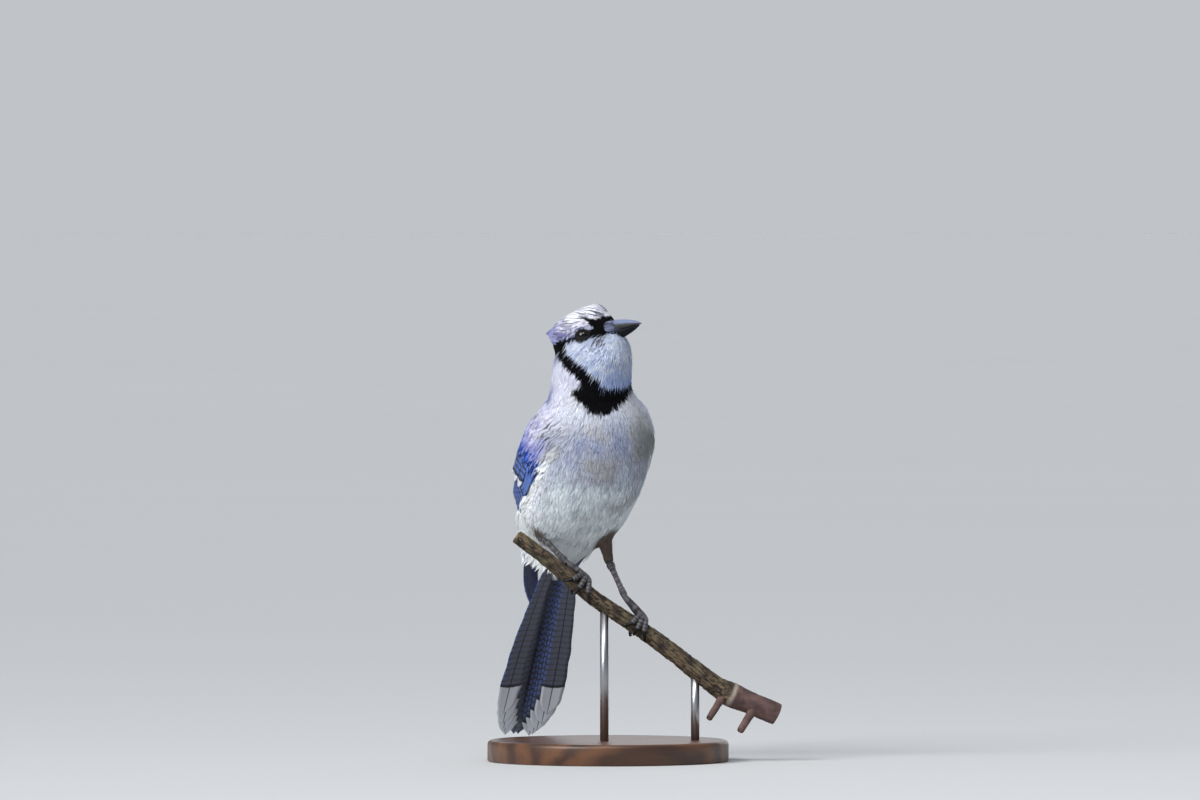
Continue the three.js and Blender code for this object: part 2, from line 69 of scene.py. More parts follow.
def look_along(thing, place, aim):
    """Puts a lamp or camera at a place, turned towards a point."""
    thing.location = place
    thing.rotation_euler = (Vector(aim) - Vector(place)).to_track_quat("-Z", "Y").to_euler()
    bpy.context.scene.collection.objects.link(thing)


VIEW_TURN, VIEW_LIFT = np.radians(-24), np.radians(1)
TOWARDS_VIEW = Vector((np.sin(VIEW_TURN) * np.cos(VIEW_LIFT), -np.cos(VIEW_TURN) * np.cos(VIEW_LIFT),
                       np.sin(VIEW_LIFT)))
MIDDLE = Vector((-0.00853, -0.008, 0.20375))  # what the middle of the picture shows
FRAME_WIDTH = 0.675  # metres across the picture at the bird
LENS, SENSOR = 400, 36
camera = bpy.data.objects.new("camera", bpy.data.cameras.new("camera"))
camera.data.lens, camera.data.sensor_width = LENS, SENSOR
camera.data.clip_end = 200
look_along(camera, MIDDLE + TOWARDS_VIEW * (FRAME_WIDTH * LENS / SENSOR), MIDDLE)
bpy.context.scene.camera = camera


def sun(name, towards, strength, spread, colour):
    """Light that comes from a direction, as soft as its spread in degrees."""
    data = bpy.data.lights.new(name, "SUN")
    data.energy, data.angle, data.color = strength, np.radians(spread), colour
    look_along(bpy.data.objects.new(name, data), towards, (0, 0, 0))


sun("window_light", (-0.76, -0.30, 0.58), 2.9, 36, (1, 0.995, 0.98))
sun("back_light", (0.55, 0.70, 0.45), 0.55, 50, (0.95, 0.98, 1))
softbox = bpy.data.lights.new("softbox", "AREA")
softbox.shape, softbox.size, softbox.energy = "DISK", 0.6, 9
look_along(bpy.data.objects.new("softbox", softbox), (-0.40, -0.95, 1.6), (0, 0, 0.24))
bpy.context.scene.view_settings.view_transform = "Standard"


# Finishes

def linear(*rgb):
    """A colour given as the 0 to 255 of a screen, as the light it stands for."""
    share = np.asarray(rgb, float) / 255
    return np.where(share <= 0.04045, share / 12.92, ((share + 0.055) / 1.055) ** 2.4)


def maths(operation, reflected=False):
    """A method that adds a Math node of one operation. Reflected, its own socket comes last."""
    def method(self, *others):
        node = self.tree.nodes.new("ShaderNodeMath")
        node.operation = operation
        for place, given in zip(node.inputs, (*others, self) if reflected else (self, *others)):
            plug(self.tree, place, given)
        return Value(self.tree, node.outputs[0])
    return method


class Value:
    """A node's socket. Arithmetic on it adds Math nodes."""

    __add__ = __radd__ = maths("ADD")
    __sub__ = maths("SUBTRACT")
    __rsub__ = maths("SUBTRACT", reflected=True)
    __mul__ = __rmul__ = maths("MULTIPLY")
    __abs__ = maths("ABSOLUTE")
    sine = maths("SINE")

    def __init__(self, tree, socket):
        self.tree, self.socket = tree, socket

    def between(self, low, high):
        """0 below low, 1 above high, and a smooth way between. It falls where low is above high."""
        node = self.tree.nodes.new("ShaderNodeMapRange")
        node.interpolation_type = "SMOOTHSTEP"
        for name, given in (("Value", self), ("From Min", low), ("From Max", high)):
            plug(self.tree, node.inputs[name], given)
        return Value(self.tree, node.outputs[0])


def plug(tree, place, given):
    """Links a value to a node's socket, or sets the socket to a number, colour or vector."""
    if isinstance(given, Value):
        tree.links.new(given.socket, place)
    elif np.ndim(given) and len(given) == 3 and place.type == "RGBA":
        place.default_value = (*given, 1)
    else:
        place.default_value = given


class Nodes:
    """A shader's nodes."""

    def __init__(self, tree):
        self.tree = tree

    def node(self, kind, settings=(), out=0, **sockets):
        """Any node: its kind, its settings and its sockets' values, with _ for a space in a socket's name."""
        node = self.tree.nodes.new("ShaderNode" + kind)
        for name, value in dict(settings).items():
            setattr(node, name, value)
        for name, value in sockets.items():
            plug(self.tree, node.inputs[name.replace("_", " ")], value)
        return Value(self.tree, node.outputs[out])

    def mix(self, share, first, second, way="MIX"):
        """A share from 0 to 1 of the way from one colour to another."""
        node = self.tree.nodes.new("ShaderNodeMix")
        node.data_type, node.blend_type = "RGBA", way
        for place, given in ((0, share), (6, first), (7, second)):
            plug(self.tree, node.inputs[place], given)
        return Value(self.tree, node.outputs[2])


class Finish(Nodes):
    """A material round one Principled shader, whose plain numbers are given by name."""

    def __init__(self, name, **numbers):
        self.material = bpy.data.materials.new(name)
        self.material.use_nodes = True
        super().__init__(self.material.node_tree)
        self.shader = self.tree.nodes["Principled BSDF"]
        self.set(**numbers)

    def set(self, **given):
        for name, value in given.items():
            plug(self.tree, self.shader.inputs[name.replace("_", " ")], value)

    def place(self, scale=(1, 1, 1), turn=(0, 0, 0)):
        """Object coordinates, in which a noise of scale 1 has a grain of about a metre."""
        here = self.node("TexCoord", out=3)
        return self.node("Mapping", Vector=here, Scale=scale, Rotation=turn)

    def grain(self, vector, scale, detail=4, roughness=0.5):
        return self.node("TexNoise", Vector=vector, Scale=scale, Detail=detail, Roughness=roughness)

    def bump(self, height, strength, depth):
        """Raises the surface by a height from 0 to 1 of a depth in metres."""
        self.set(Normal=self.node("Bump", Height=height, Strength=strength, Distance=depth))

    def attribute(self, name, out="Color"):
        return self.node("Attribute", {"attribute_name": name}, out)


def pale_room():
    """The air round the stand: as bright as the floor at the horizon, calmer overhead."""
    air = bpy.data.worlds.new("pale_room")
    air.use_nodes = True
    bpy.context.scene.world = air
    made = Nodes(air.node_tree)
    height = made.node("SeparateXYZ", out=2, Vector=made.node("TexCoord", out=0))
    light = made.mix(height.between(0.03, 0.16), (0.526, 0.5465, 0.5705), (0.25, 0.275, 0.32))
    plug(made.tree, air.node_tree.nodes["Background"].inputs["Color"], light)


pale_room()


def plumage_finish():
    """Feathers whose colour each tuft brings with it."""
    made = Finish("plumage", Roughness=0.85, Sheen_Weight=0.02, Sheen_Roughness=0.5, Specular_IOR_Level=0.1)
    blotch = made.grain(made.place(), 900, detail=3)
    made.set(Base_Color=made.mix(0.15, made.attribute("marking"), blotch, "SOFT_LIGHT"))
    return made.material


def skin_finish():
    """The down under the feathers, with the same markings."""
    made = Finish("down", Roughness=0.95, Specular_IOR_Level=0.1)
    fluff = made.grain(made.place(), 1500, detail=5, roughness=0.7)
    made.set(Base_Color=made.mix(0.3, made.attribute("marking"), fluff, "MULTIPLY"))
    made.bump(fluff, 0.8, 0.0006)
    return made.material


FLIGHT_BLUE, FLIGHT_PALE, FLIGHT_DARK = linear(50, 86, 170), linear(112, 144, 212), linear(15, 17, 26)
FLIGHT_WHITE, FLIGHT_GREY = linear(226, 230, 240), linear(62, 64, 78)


def flight_finish():
    """Flight, tail and covert feathers.

    The map runs across each vane and, from its tip, along it in centimetres. dress holds how strong the bars
    are, the white tip's length in centimetres, how pale the blue is and a random share.
    """
    made = Finish("flight_feathers", Roughness=0.42, Sheen_Weight=0.12, Sheen_Roughness=0.35)
    vane_map = made.node("UVMap", {"uv_map": "vane"})
    across, from_tip = (made.node("SeparateXYZ", out=k, Vector=vane_map) for k in range(2))
    dress = made.attribute("dress")
    bars, tip, pale = (made.node("SeparateColor", out=k, Color=dress) for k in range(3))
    chance = made.attribute("dress", "Alpha")
    side = across * 2 - 1
    fray = made.grain(made.place(), 900, detail=3)
    barb = ((from_tip * 10 - abs(side) * 4.2 + fray * 0.5) * 14).sine()
    level = from_tip + chance * 0.2 + abs(side) * 0.16 + (fray - 0.5) * 0.16
    stripe = (level * 17).sine().between(0.36, 0.72) * bars
    webs = side.between(0.1, 0.42)
    blue = made.mix(pale, FLIGHT_BLUE, FLIGHT_PALE)
    blue = made.mix(fray.between(0.42, 0.7) * 0.5, blue, FLIGHT_PALE)
    vane = made.mix(webs * bars * 0.75, blue, FLIGHT_GREY)
    vane = made.mix(stripe, vane, FLIGHT_DARK)
    dull = made.mix(stripe * 0.3 + fray * 0.3, linear(104, 108, 120), linear(58, 60, 72))
    vane = made.mix(made.attribute("under", "Fac") * 0.9, vane, dull)
    white = (from_tip - tip + (fray - 0.5) * 0.12).between(0.03, -0.03) * tip.between(0.02, 0.04)
    rim = (from_tip - tip - 0.2).between(0.05, -0.05) * tip.between(0.02, 0.04)
    vane = made.mix(rim * 0.85, vane, FLIGHT_DARK)
    vane = made.mix(white, vane, FLIGHT_WHITE)
    shaft = abs(side).between(0.075, 0.03)
    vane = made.mix(shaft * 0.85, vane, FLIGHT_DARK)
    made.set(Base_Color=made.mix(barb.between(-1, 1) * 0.16, vane, FLIGHT_DARK))
    made.set(Roughness=0.4 + fray * 0.2)
    made.bump(barb.between(-1, 1), 0.45, 0.00012)
    return made.material


def horn_finish(name, dark, pale, roughness):
    """Bill and claws: smooth horn with fine growth lines. On the bill, a painted highlight lies along the top
    of the upper mandible, and a pale line along its cutting edge.
    """
    made = Finish(name, Specular_IOR_Level=0.16)
    cloud = made.grain(made.place(), 260, detail=4)
    lines = made.grain(made.place((1, 1, 5)), 900, detail=4)
    ground = made.mix(cloud.between(0.4, 0.72), dark, pale)
    # Painted highlight: the top of the upper mandible is painted pale blue grey, as lit from above, and a pale
    # line runs along its cutting edge.
    highlight_and_edge = made.attribute("painted_highlight_and_edge", "Fac") * (0.45 + cloud * 0.5)
    made.set(Base_Color=made.mix(highlight_and_edge, ground, linear(136, 148, 182)))
    made.set(Roughness=roughness + lines * 0.16)
    made.bump(lines, 0.3, 0.00012)
    return made.material


def eye_finish():
    """Wet dark brown iris round a black pupil; ring is the share of the way from the middle to the rim."""
    made = Finish("eye", Roughness=0.05, IOR=1.42)
    ring = made.attribute("ring", "Fac")
    flecks = made.grain(made.place(), 3500, detail=3)
    iris = made.mix(ring.between(0.5, 0.8), linear(24, 15, 11), linear(5, 4, 4))
    iris = made.mix(flecks * 0.2, iris, linear(40, 26, 18))
    made.set(Base_Color=made.mix(ring.between(0.46, 0.42), iris, (0.002, 0.002, 0.002)))
    return made.material


def lid_finish():
    """Bare lid: black above, with a pale dusty edge below."""
    made = Finish("lid", Roughness=0.6, Specular_IOR_Level=0.2)
    pebbles = made.node("TexVoronoi", Vector=made.place(), Scale=2600)
    below = made.attribute("ring", "Fac").between(0.78, 0.96)
    made.set(Base_Color=made.mix(below, linear(7, 7, 9), linear(96, 98, 110)))
    made.bump(pebbles, 0.6, 0.0002)
    return made.material


def scale_finish(name, dark, pale, edge):
    """Leg scales: dull dark horn, paler at the raised edges that "raised" marks, finely wrinkled."""
    made = Finish(name, Roughness=0.55, Coat_Weight=0.08)
    cloud = made.grain(made.place(), 500, detail=4)
    wrinkles = made.node("TexVoronoi", Vector=made.place(), Scale=2200)
    raised = made.attribute("raised", "Fac")
    ground = made.mix(cloud.between(0.35, 0.7), dark, pale)
    made.set(Base_Color=made.mix(raised * 0.4, ground, edge))
    made.set(Roughness=0.42 + cloud * 0.3)
    made.bump(wrinkles, 0.5, 0.00025)
    return made.material


def bark_finish():
    """Dark scaly bark with pale edges, smoother and purple brown past the knot, and a cut face of pale wood.

    bark holds how far a place is into a crack, how smooth the bark is there, and how much of it is cut wood.
    """
    made = Finish("bark", Roughness=0.85)
    marks = made.attribute("bark")
    crack, smooth_part, cut = (made.node("SeparateColor", out=k, Color=marks) for k in range(3))
    here = made.place()
    cloud, fine = made.grain(here, 160, detail=5), made.grain(here, 1400, detail=6, roughness=0.7)
    plates = made.mix(cloud.between(0.35, 0.65), linear(54, 42, 32), linear(108, 92, 70))
    moss = made.grain(here, 90, detail=3).between(0.52, 0.66)
    plates = made.mix(moss * 0.35, plates, linear(92, 98, 66))
    plates = made.mix(fine.between(0.52, 0.75), plates, linear(150, 134, 108))
    plates = made.mix(crack, plates, linear(24, 18, 15))
    young = made.mix(cloud.between(0.3, 0.7), linear(72, 52, 52), linear(108, 84, 78))
    young = made.mix(fine.between(0.6, 0.78) * 0.7, young, linear(150, 132, 120))
    whole = made.mix(smooth_part, plates, young)
    whole = made.mix(smooth_part * (1 - smooth_part) * 3, whole, linear(172, 160, 148))
    wood = made.mix(fine, linear(186, 158, 120), linear(150, 118, 82))
    made.set(Base_Color=made.mix(cut, whole, wood), Roughness=0.72 + fine * 0.22)
    made.bump(fine, 0.9, 0.0005)
    return made.material


def wood_finish():
    """Turned dark wood under a thin satin varnish."""
    made = Finish("dark_wood", Coat_Weight=0.25, Coat_Roughness=0.25)
    along = made.place((1.2, 9, 9), (0, 0, 0.35))
    year = made.node("TexWave", {"wave_type": "BANDS", "bands_direction": "Y"}, out=1, Vector=along,
                     Scale=2.2, Distortion=9, Detail=4, Detail_Scale=1.6)
    pores = made.grain(made.place((6, 90, 90), (0, 0, 0.35)), 22, detail=5, roughness=0.65)
    tone = made.mix(year, linear(62, 37, 22), linear(104, 66, 40))
    made.set(Base_Color=made.mix(pores.between(0.55, 0.75) * 0.7, tone, linear(36, 21, 13)))
    made.set(Roughness=0.38 + pores * 0.2)
    made.bump(pores, 0.25, 0.0002)
    return made.material


def steel_finish():
    """Brushed steel rod, with the lines of its turning."""
    made = Finish("steel", Metallic=1.0)
    lines = made.grain(made.place((1, 1, 30)), 700, detail=4)
    smear = made.grain(made.place(), 60, detail=3)
    made.set(Base_Color=made.mix(smear, linear(150, 150, 154), linear(186, 186, 190)))
    made.set(Roughness=0.26 + lines * 0.2)
    made.bump(lines, 0.2, 0.00005)
    return made.material


def floor_finish():
    """A plain pale floor, with a faint cloud."""
    made = Finish("pale_floor", Roughness=0.9, Specular_IOR_Level=0.0)
    made.set(Base_Color=made.mix(made.grain(made.place(), 1.2), (0.60, 0.606, 0.608), (0.62, 0.626, 0.628)))
    return made.material


# Shapes

def unit(v):
    return v / np.maximum(np.linalg.norm(v, axis=-1, keepdims=True), 1e-9)


def smooth(low, high, x):
    share = np.clip((x - low) / (high - low), 0, 1)
    return share * share * (3 - 2 * share)


def across_plane(v, normal):
    """The part of each vector that lies in the plane across a normal, made one long."""
    return unit(v - normal * (v * normal).sum(-1, keepdims=True))


def spline(points, t, centripetal=False):
    """Points of a Catmull-Rom curve through points, at shares t of its spans."""
    points = np.asarray(points, float)
    last = len(points) - 1
    t = np.clip(np.asarray(t, float), 0, 1) * last
    i = np.minimum(t.astype(int), last - 1)
    w = (t - i)[..., None]
    padded = np.vstack([2 * points[0] - points[1], points, 2 * points[-1] - points[-2]])
    p0, p1, p2, p3 = (padded[i + k] for k in range(4))
    m1, m2 = (p2 - p0) / 2, (p3 - p1) / 2
    if centripetal:
        d0, d1, d2 = (np.sqrt(np.linalg.norm(b - a, axis=-1, keepdims=True))
                      for a, b in ((p0, p1), (p1, p2), (p2, p3)))
        m1 = ((p1 - p0) / d0 - (p2 - p0) / (d0 + d1) + (p2 - p1) / d1) * d1
        m2 = ((p2 - p1) / d1 - (p3 - p1) / (d1 + d2) + (p3 - p2) / d2) * d1
    return p1 + m1 * w + (3 * (p2 - p1) - 2 * m1 - m2) * w**2 + (2 * (p1 - p2) + m1 + m2) * w**3


class Tube:
    """A round body along a line: half its width along a side, and its reach to the front and the back."""

    def __init__(self, places, reach, sides):
        self.places = np.asarray(places, float)
        self.squares = np.asarray(reach, float) ** 2
        self.sides = np.broadcast_to(np.asarray(sides, float), self.places.shape)

    def at(self, t):
        return spline(self.places, t, True)

    def frame(self, t):
        """The line's own direction, the side and the front at shares t of the line."""
        t = np.asarray(t, float)
        along = unit(self.at(np.minimum(t + 1e-4, 1)) - self.at(np.maximum(t - 1e-4, 0)))
        side = across_plane(spline(self.sides, t), along)
        return along, side, np.cross(side, along)

    def point(self, t, angle, grow=0.0):
        """The surface at shares t of the line and angles round it, grown outwards by a margin."""
        t, angle = np.broadcast_arrays(np.asarray(t, float), np.asarray(angle, float))
        _, side, front = self.frame(t)
        wide, ahead, behind = np.moveaxis(np.sqrt(np.maximum(spline(self.squares, t), 0)), -1, 0)
        deep = np.where(np.sin(angle) > 0, ahead, behind)
        wide, deep = np.maximum(wide + grow, 0.15), np.maximum(deep + grow, 0.15)
        to_side, to_front = (wide * np.cos(angle))[..., None], (deep * np.sin(angle))[..., None]
        return self.at(t) + side * to_side + front * to_front

    def body(self, rows, around, grow=0.0):
        """A closed body from a round ball, its rows closer at the ends, and its points' shares and angles.

        grow is a margin, or a function of the share and the angle that gives one.
        """
        made = bmesh.new()
        bmesh.ops.create_uvsphere(made, u_segments=around, v_segments=rows, radius=1)
        ball = spots_of(made.verts)
        t, angle = (1 - np.clip(ball[:, 2], -1, 1)) / 2, np.arctan2(ball[:, 1], ball[:, 0])
        margin = grow(t, angle) if callable(grow) else grow
        spots = self.point(t, angle, margin)
        for end, step in ((0.0, -1), (1.0, 1)):
            pole = np.abs(t - end) < 1e-6
            margin_there = margin[pole] if np.ndim(margin) else margin
            spots[pole] = self.at(end) + step * self.frame(end)[0] * np.reshape(margin_there, (-1, 1))
        for vertex, spot in zip(made.verts, spots):
            vertex.co = spot
        bmesh.ops.recalc_face_normals(made, faces=made.faces)
        return made, t, angle

    def nearest(self, points, steps=160):
        """The share t of the line's nearest place to each point, and the side and front parts of the way."""
        t = np.linspace(0.005, 0.995, steps)
        line = self.at(t)
        best = np.empty(len(points), int)
        for start in range(0, len(points), 4000):
            chunk = points[start:start + 4000]
            best[start:start + 4000] = ((chunk[:, None] - line[None]) ** 2).sum(-1).argmin(1)
        _, side, front = self.frame(t)
        out = points - line[best]
        return t[best], (out * side[best]).sum(-1), (out * front[best]).sum(-1)


def spots_of(verts):
    return np.array([vertex.co for vertex in verts])


def turn_about(axis, degrees):
    """The matrix of a turn about X, Y or Z."""
    matrix = np.eye(3)
    a, b = [(1, 2), (2, 0), (0, 1)][axis]
    matrix[a, a] = matrix[b, b] = np.cos(np.radians(degrees))
    matrix[b, a] = np.sin(np.radians(degrees))
    matrix[a, b] = -matrix[b, a]
    return matrix


# The trunk from the tail's root to inside the head: place, half width, front, back, and the turn of its side.
HEAD_TURN, HEAD_LIFT = 38, 18
TRUNK = [
    ((0, 52, 22), 0, 0, 0, 0), ((0, 46, 32), 11, 9, 8, 0), ((0, 38, 44), 19, 17, 13, 0),
    ((0.5, 28.5, 58), 31, 25, 18, 0), ((1, 18.5, 73), 34, 30.5, 21.5, 0), ((2, 9.5, 88), 35.5, 33, 23, 0),
    ((2, 3.5, 102), 34.9, 31.5, 23, 0), ((0.7, 0.5, 115), 31.8, 27, 22.5, 0),
    ((-0.8, -1, 128), 24.8, 21.8, 23, 6), ((-0.5, -1, 138), 23.4, 22.8, 22.6, 18),
    ((-0.2, -0.5, 147), 21.3, 24, 21.8, 32), ((-0.5, -0.5, 154), 16.4, 22.6, 18.4, 38),
    ((-2, 1, 160), 9, 11, 11, 38), ((-3, 3, 164), 0, 0, 0, 38),
]
SIDE = np.array([1.0, 0, 0])
trunk = Tube([row[0] for row in TRUNK], [row[1:4] for row in TRUNK],
             [turn_about(2, row[4]) @ SIDE for row in TRUNK])

# The head's own frame: it faces -Y with +Z up.
HEAD_AT = np.array([-3, 3, 156.4])
HEAD_AXES = turn_about(2, HEAD_TURN) @ turn_about(0, -HEAD_LIFT)


def on_head(x, y, z):
    return np.stack(np.broadcast_arrays(x, y, z), -1) @ HEAD_AXES.T + HEAD_AT


def head_along(x, y, z):
    return unit(np.stack(np.broadcast_arrays(x, y, z), -1).astype(float) @ HEAD_AXES.T)


def in_head(points):
    return (points - HEAD_AT) @ HEAD_AXES


# The skull: distance back and up, half width, and reach up and down.
SKULL = [
    (17.6, 1, 0, 0, 0), (14, 1, 9.5, 12, 11), (7, 0.5, 14.2, 15.9, 14), (0, 0.4, 15.2, 17.1, 15.4),
    (-6, 0.8, 13.3, 17.2, 14.8), (-12, 1.5, 10.9, 16.4, 12), (-17, 2.3, 7.8, 13.4, 8.8),
    (-20.2, 4.2, 4.9, 8.8, 5.4), (-22.6, 5, 0, 0, 0),
]
HEAD_SIDE, HEAD_UP = head_along(1, 0, 0), head_along(0, 0, 1)
skull = Tube([on_head(0, y, z) for y, z, *_ in SKULL], [(w, low, top) for _, _, w, top, low in SKULL],
             HEAD_SIDE)

BILL = {"base": 13, "tip": 37.8, "wide": 4.9, "upper": 6.9, "lower": 4.7, "shorter": 1.6}
EYE = {"x": 10.7, "y": -5.9, "z": 1.5, "radius": 4.4}
NECK_CUT, BREAST_CUT, RUMP_CUT = 11, 0.645, 0.095


def limb(places, radii, side=SIDE):
    return Tube(places, [(r, r, r) for r in radii], side)


def lerp(a, b, share):
    return np.asarray(a, float) + (np.asarray(b, float) - a) * share


LEGS = [
    {"half": "left", "knee": (7.5, 9, 66), "heel": (20, 20, 32), "foot": (17.5, -7.5, 13),
     "perch": 0.4436, "thigh": 6},
    {"half": "right", "knee": (-13, 10, 66), "heel": (-20, 27, 48), "foot": (-14.5, 1.5, 32.5),
     "perch": 0.2644, "thigh": 5},
]
THIGH_SHARES, SHANK_SHARES = [-0.05, 0, 0.45, 0.8, 0.96, 1], [0.04, 0.09, 0.25, 0.7, 0.92, 1]
thighs = [limb([lerp(leg["knee"], leg["heel"], q) for q in THIGH_SHARES],
               [0, leg["thigh"] * 1.25, leg["thigh"], 3.6, 2.6, 0]) for leg in LEGS]
shanks = [limb([lerp(leg["heel"], leg["foot"], q) for q in SHANK_SHARES], [0, 2.4, 1.7, 1.615, 1.955, 0])
          for leg in LEGS]


# Showing a piece

def add_field(mesh, name, kind, values):
    """A value or colour at each point."""
    field = mesh.attributes.new(name, kind, "POINT")
    kind_of_value = "color" if kind == "FLOAT_COLOR" else "value"
    field.data.foreach_set(kind_of_value, np.ascontiguousarray(values, np.float32).ravel())


def opaque(colours):
    return np.hstack([colours, np.ones((len(colours), 1))])


def show(name, mesh, finish, slot, *nodes):
    """Makes an object of a mesh in millimetres and hands it to the frame."""
    mesh.name = name
    mesh.transform(TO_PART)
    mesh.shade_smooth()
    mesh.materials.append(finish)
    piece = bpy.data.objects.new(name, mesh)
    bpy.context.scene.collection.objects.link(piece)
    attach(piece, "root")
    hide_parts(*nodes)
    return piece


def to_mesh(made):
    mesh = bpy.data.meshes.new("shape")
    made.to_mesh(mesh)
    made.free()
    return mesh


def joined(shapes):
    """One bmesh of several, which are freed."""
    whole = bmesh.new()
    for shape in shapes:
        part = to_mesh(shape)
        whole.from_mesh(part)
        bpy.data.meshes.remove(part)
    return whole
def fused(shapes, voxel, rounds, factor):
    """Shapes run together into one closed mesh, which is then smoothed."""
    rough = bpy.data.objects.new("rough", to_mesh(joined(shapes)))
    bpy.context.scene.collection.objects.link(rough)
    remesh = rough.modifiers.new("join", "REMESH")
    remesh.mode, remesh.voxel_size = "VOXEL", voxel
    bpy.context.view_layer.update()
    whole = rough.evaluated_get(bpy.context.evaluated_depsgraph_get())
    made = bmesh.new()
    made.from_mesh(whole.to_mesh())
    bpy.data.objects.remove(rough)
    for _ in range(rounds):
        bmesh.ops.smooth_vert(made, verts=made.verts, factor=factor, use_axis_x=True, use_axis_y=True,
                              use_axis_z=True)
    return made


def keep_past(made, place, way):
    """Drops what lies behind a plane from a closed shape, and closes the cut."""
    cut = bmesh.ops.bisect_plane(made, geom=made.verts[:] + made.edges[:] + made.faces[:], plane_co=place,
                                 plane_no=way, clear_inner=True)
    bmesh.ops.holes_fill(made, edges=[e for e in cut["geom_cut"] if isinstance(e, bmesh.types.BMEdge)])


def run_together(sets):
    """Sets of points, triangles and values as one set, with each one's triangles counted on."""
    starts = np.cumsum([0, *(len(points) for points, *_ in sets)])
    counted = [(points, triangles + start, *values)
               for (points, triangles, *values), start in zip(sets, starts)]
    return [np.concatenate(kind) for kind in zip(*counted)]
def arrays_mesh(points, triangles):
    """A mesh from an array of points and one of triangles."""
    mesh = bpy.data.meshes.new("shape")
    mesh.vertices.add(len(points))
    mesh.vertices.foreach_set("co", np.ascontiguousarray(points, np.float32).ravel())
    mesh.loops.add(3 * len(triangles))
    mesh.loops.foreach_set("vertex_index", np.ascontiguousarray(triangles, np.int32).ravel())
    mesh.polygons.add(len(triangles))
    mesh.polygons.foreach_set("loop_start", np.arange(0, 3 * len(triangles), 3, dtype=np.int32))
    mesh.update(calc_edges=True)
    return mesh


def add_map(mesh, name, uv, triangles):
    """A map from a place for each point."""
    places = np.ascontiguousarray(uv[triangles.ravel()], np.float32)
    mesh.uv_layers.new(name=name).data.foreach_set("uv", places.ravel())


# Markings, the same for the skin and the coat

WHITE, CHEEK, THROAT = linear(230, 234, 242), linear(192, 203, 228), linear(148, 171, 224)
BLACK = linear(6, 6, 10)
# The crown's violet below serves both as the forehead's own streaks and as painted shadow of the crest over the
# brow.
CROWN_PALE, VIOLET_STREAK_AND_SHADOW, BROW = linear(230, 229, 242), linear(84, 84, 128), linear(172, 176, 204)
CREST_BLUE, CREST_TIP, FACE_SHADE = linear(136, 137, 180), linear(66, 70, 116), linear(134, 148, 190)
NECK_SIDE, MANTLE, RUMP_BLUE = linear(214, 215, 233), linear(118, 126, 176), linear(72, 104, 186)
BREAST, BREAST_WARM, BREAST_COOL = linear(168, 173, 190), linear(166, 162, 160), linear(138, 150, 184)
# The breast's shade colour below and the belly's shade colour on the next line are painted shade: the breast's
# side away from the light, and soft folds low on the belly.
PAINTED_BREAST_SHADE = linear(132, 134, 122)
BELLY, PAINTED_BELLY_SHADE, TIBIA = linear(224, 233, 238), linear(160, 178, 186), linear(106, 94, 86)
# On one side of the head: the black line from the eye round the cheek to the necklace, and half its width.
CHEEK_LINE = [(13.4, -4.5, 0.9), (15.0, -1, 0.9), (14.6, 4.5, 0.9), (12.4, 10.0, -0.4), (14.6, 9.4, -3.8),
              (18.4, 6.6, -7.6), (22.2, 2.3, -13), (23.4, -1.9, -17.6), (22.8, -4.1, -21.8), (21.4, -6, -26.4),
              (19.6, -7.6, -30)]
CHEEK_LINE_HALF = [1.1, 1.0, 1.7, 4.2, 3.9, 3.2, 3.3, 3.8, 3.5, 3.8, 4.6]
# From its widest place on, the line also runs back under the crest.
UNDER_CREST = [(12.4, 10, -0.4), (10, 14.2, 0), (5, 17, 1.2), (0, 18, 1.6)]
UNDER_CREST_HALF = [4.2, 4.2, 3.8, 3.4]
# The black round the face, seen from the side: distance back and up.
LORE = [(-5.6, 12), (-9.6, 9.4), (-11.2, 6), (-12.0, 3.8), (-10, 3.3), (-8.2, 3.4), (-8.2, -1.2), (-12.7, -2.3),
        (-16, -2.9), (-19, -2.4), (-25, 2), (-25, 12.5), (-22.6, 11.2), (-21, 9.6), (-18.6, 9.4), (-16.4, 11),
        (-15.2, 10.2), (-15.6, 9.2), (-13.6, 9.4), (-11.3, 10.9), (-9.6, 11.5)]
# The necklace: degrees round the neck from straight ahead, and height. It meets the two cheek lines.
NECKLACE = [(-53, 127.3), (-47, 124.3), (-38, 120.8), (-28, 116.2), (-14, 114.2), (0, 115.1), (18, 118.6),
            (34, 123), (48, 125.6), (64, 127.4), (84, 129), (104, 130), (112, 136), (92, 137), (72, 135),
            (56, 132.4), (41, 130.5), (22, 129.7), (2, 130), (-11, 131.6), (-20, 134), (-26, 137.5), (-36, 138),
            (-40, 133), (-43, 130.2)]
# Its middle line, above which the throat's colour starts.
NECKLACE_MIDDLE = [(-60, -45, -35, -20, 0, 20, 40, 60, 80, 106),
                   (140, 134, 131, 127, 123, 124, 127, 129.5, 131.5, 133)]
DEGREE = 0.4  # millimetres of the neck's skin in a degree round it
CHIN = (0, -15, -1)
FAR = 9.0  # millimetres: no black where a marking is as far away as this


def edge_distance(x, y, outline):
    """How far each point lies outside a closed outline, negative inside."""
    p = np.stack([x, y], -1)[:, None]
    a = np.asarray(outline, float)[None]
    b = np.roll(a, -1, 1)
    share = np.clip(((p - a) * (b - a)).sum(-1) / ((b - a) ** 2).sum(-1), 0, 1)
    away = np.linalg.norm(p - a - (b - a) * share[..., None], axis=-1).min(1)
    spans = (a[..., 1] > p[..., 1]) != (b[..., 1] > p[..., 1])
    rise = np.where(b[..., 1] == a[..., 1], 1, b[..., 1] - a[..., 1])
    run = (b[..., 0] - a[..., 0]) * (p[..., 1] - a[..., 1]) / rise
    inside = (spans & (p[..., 0] < run + a[..., 0])).sum(1) % 2 == 1
    return np.where(inside, -away, away)


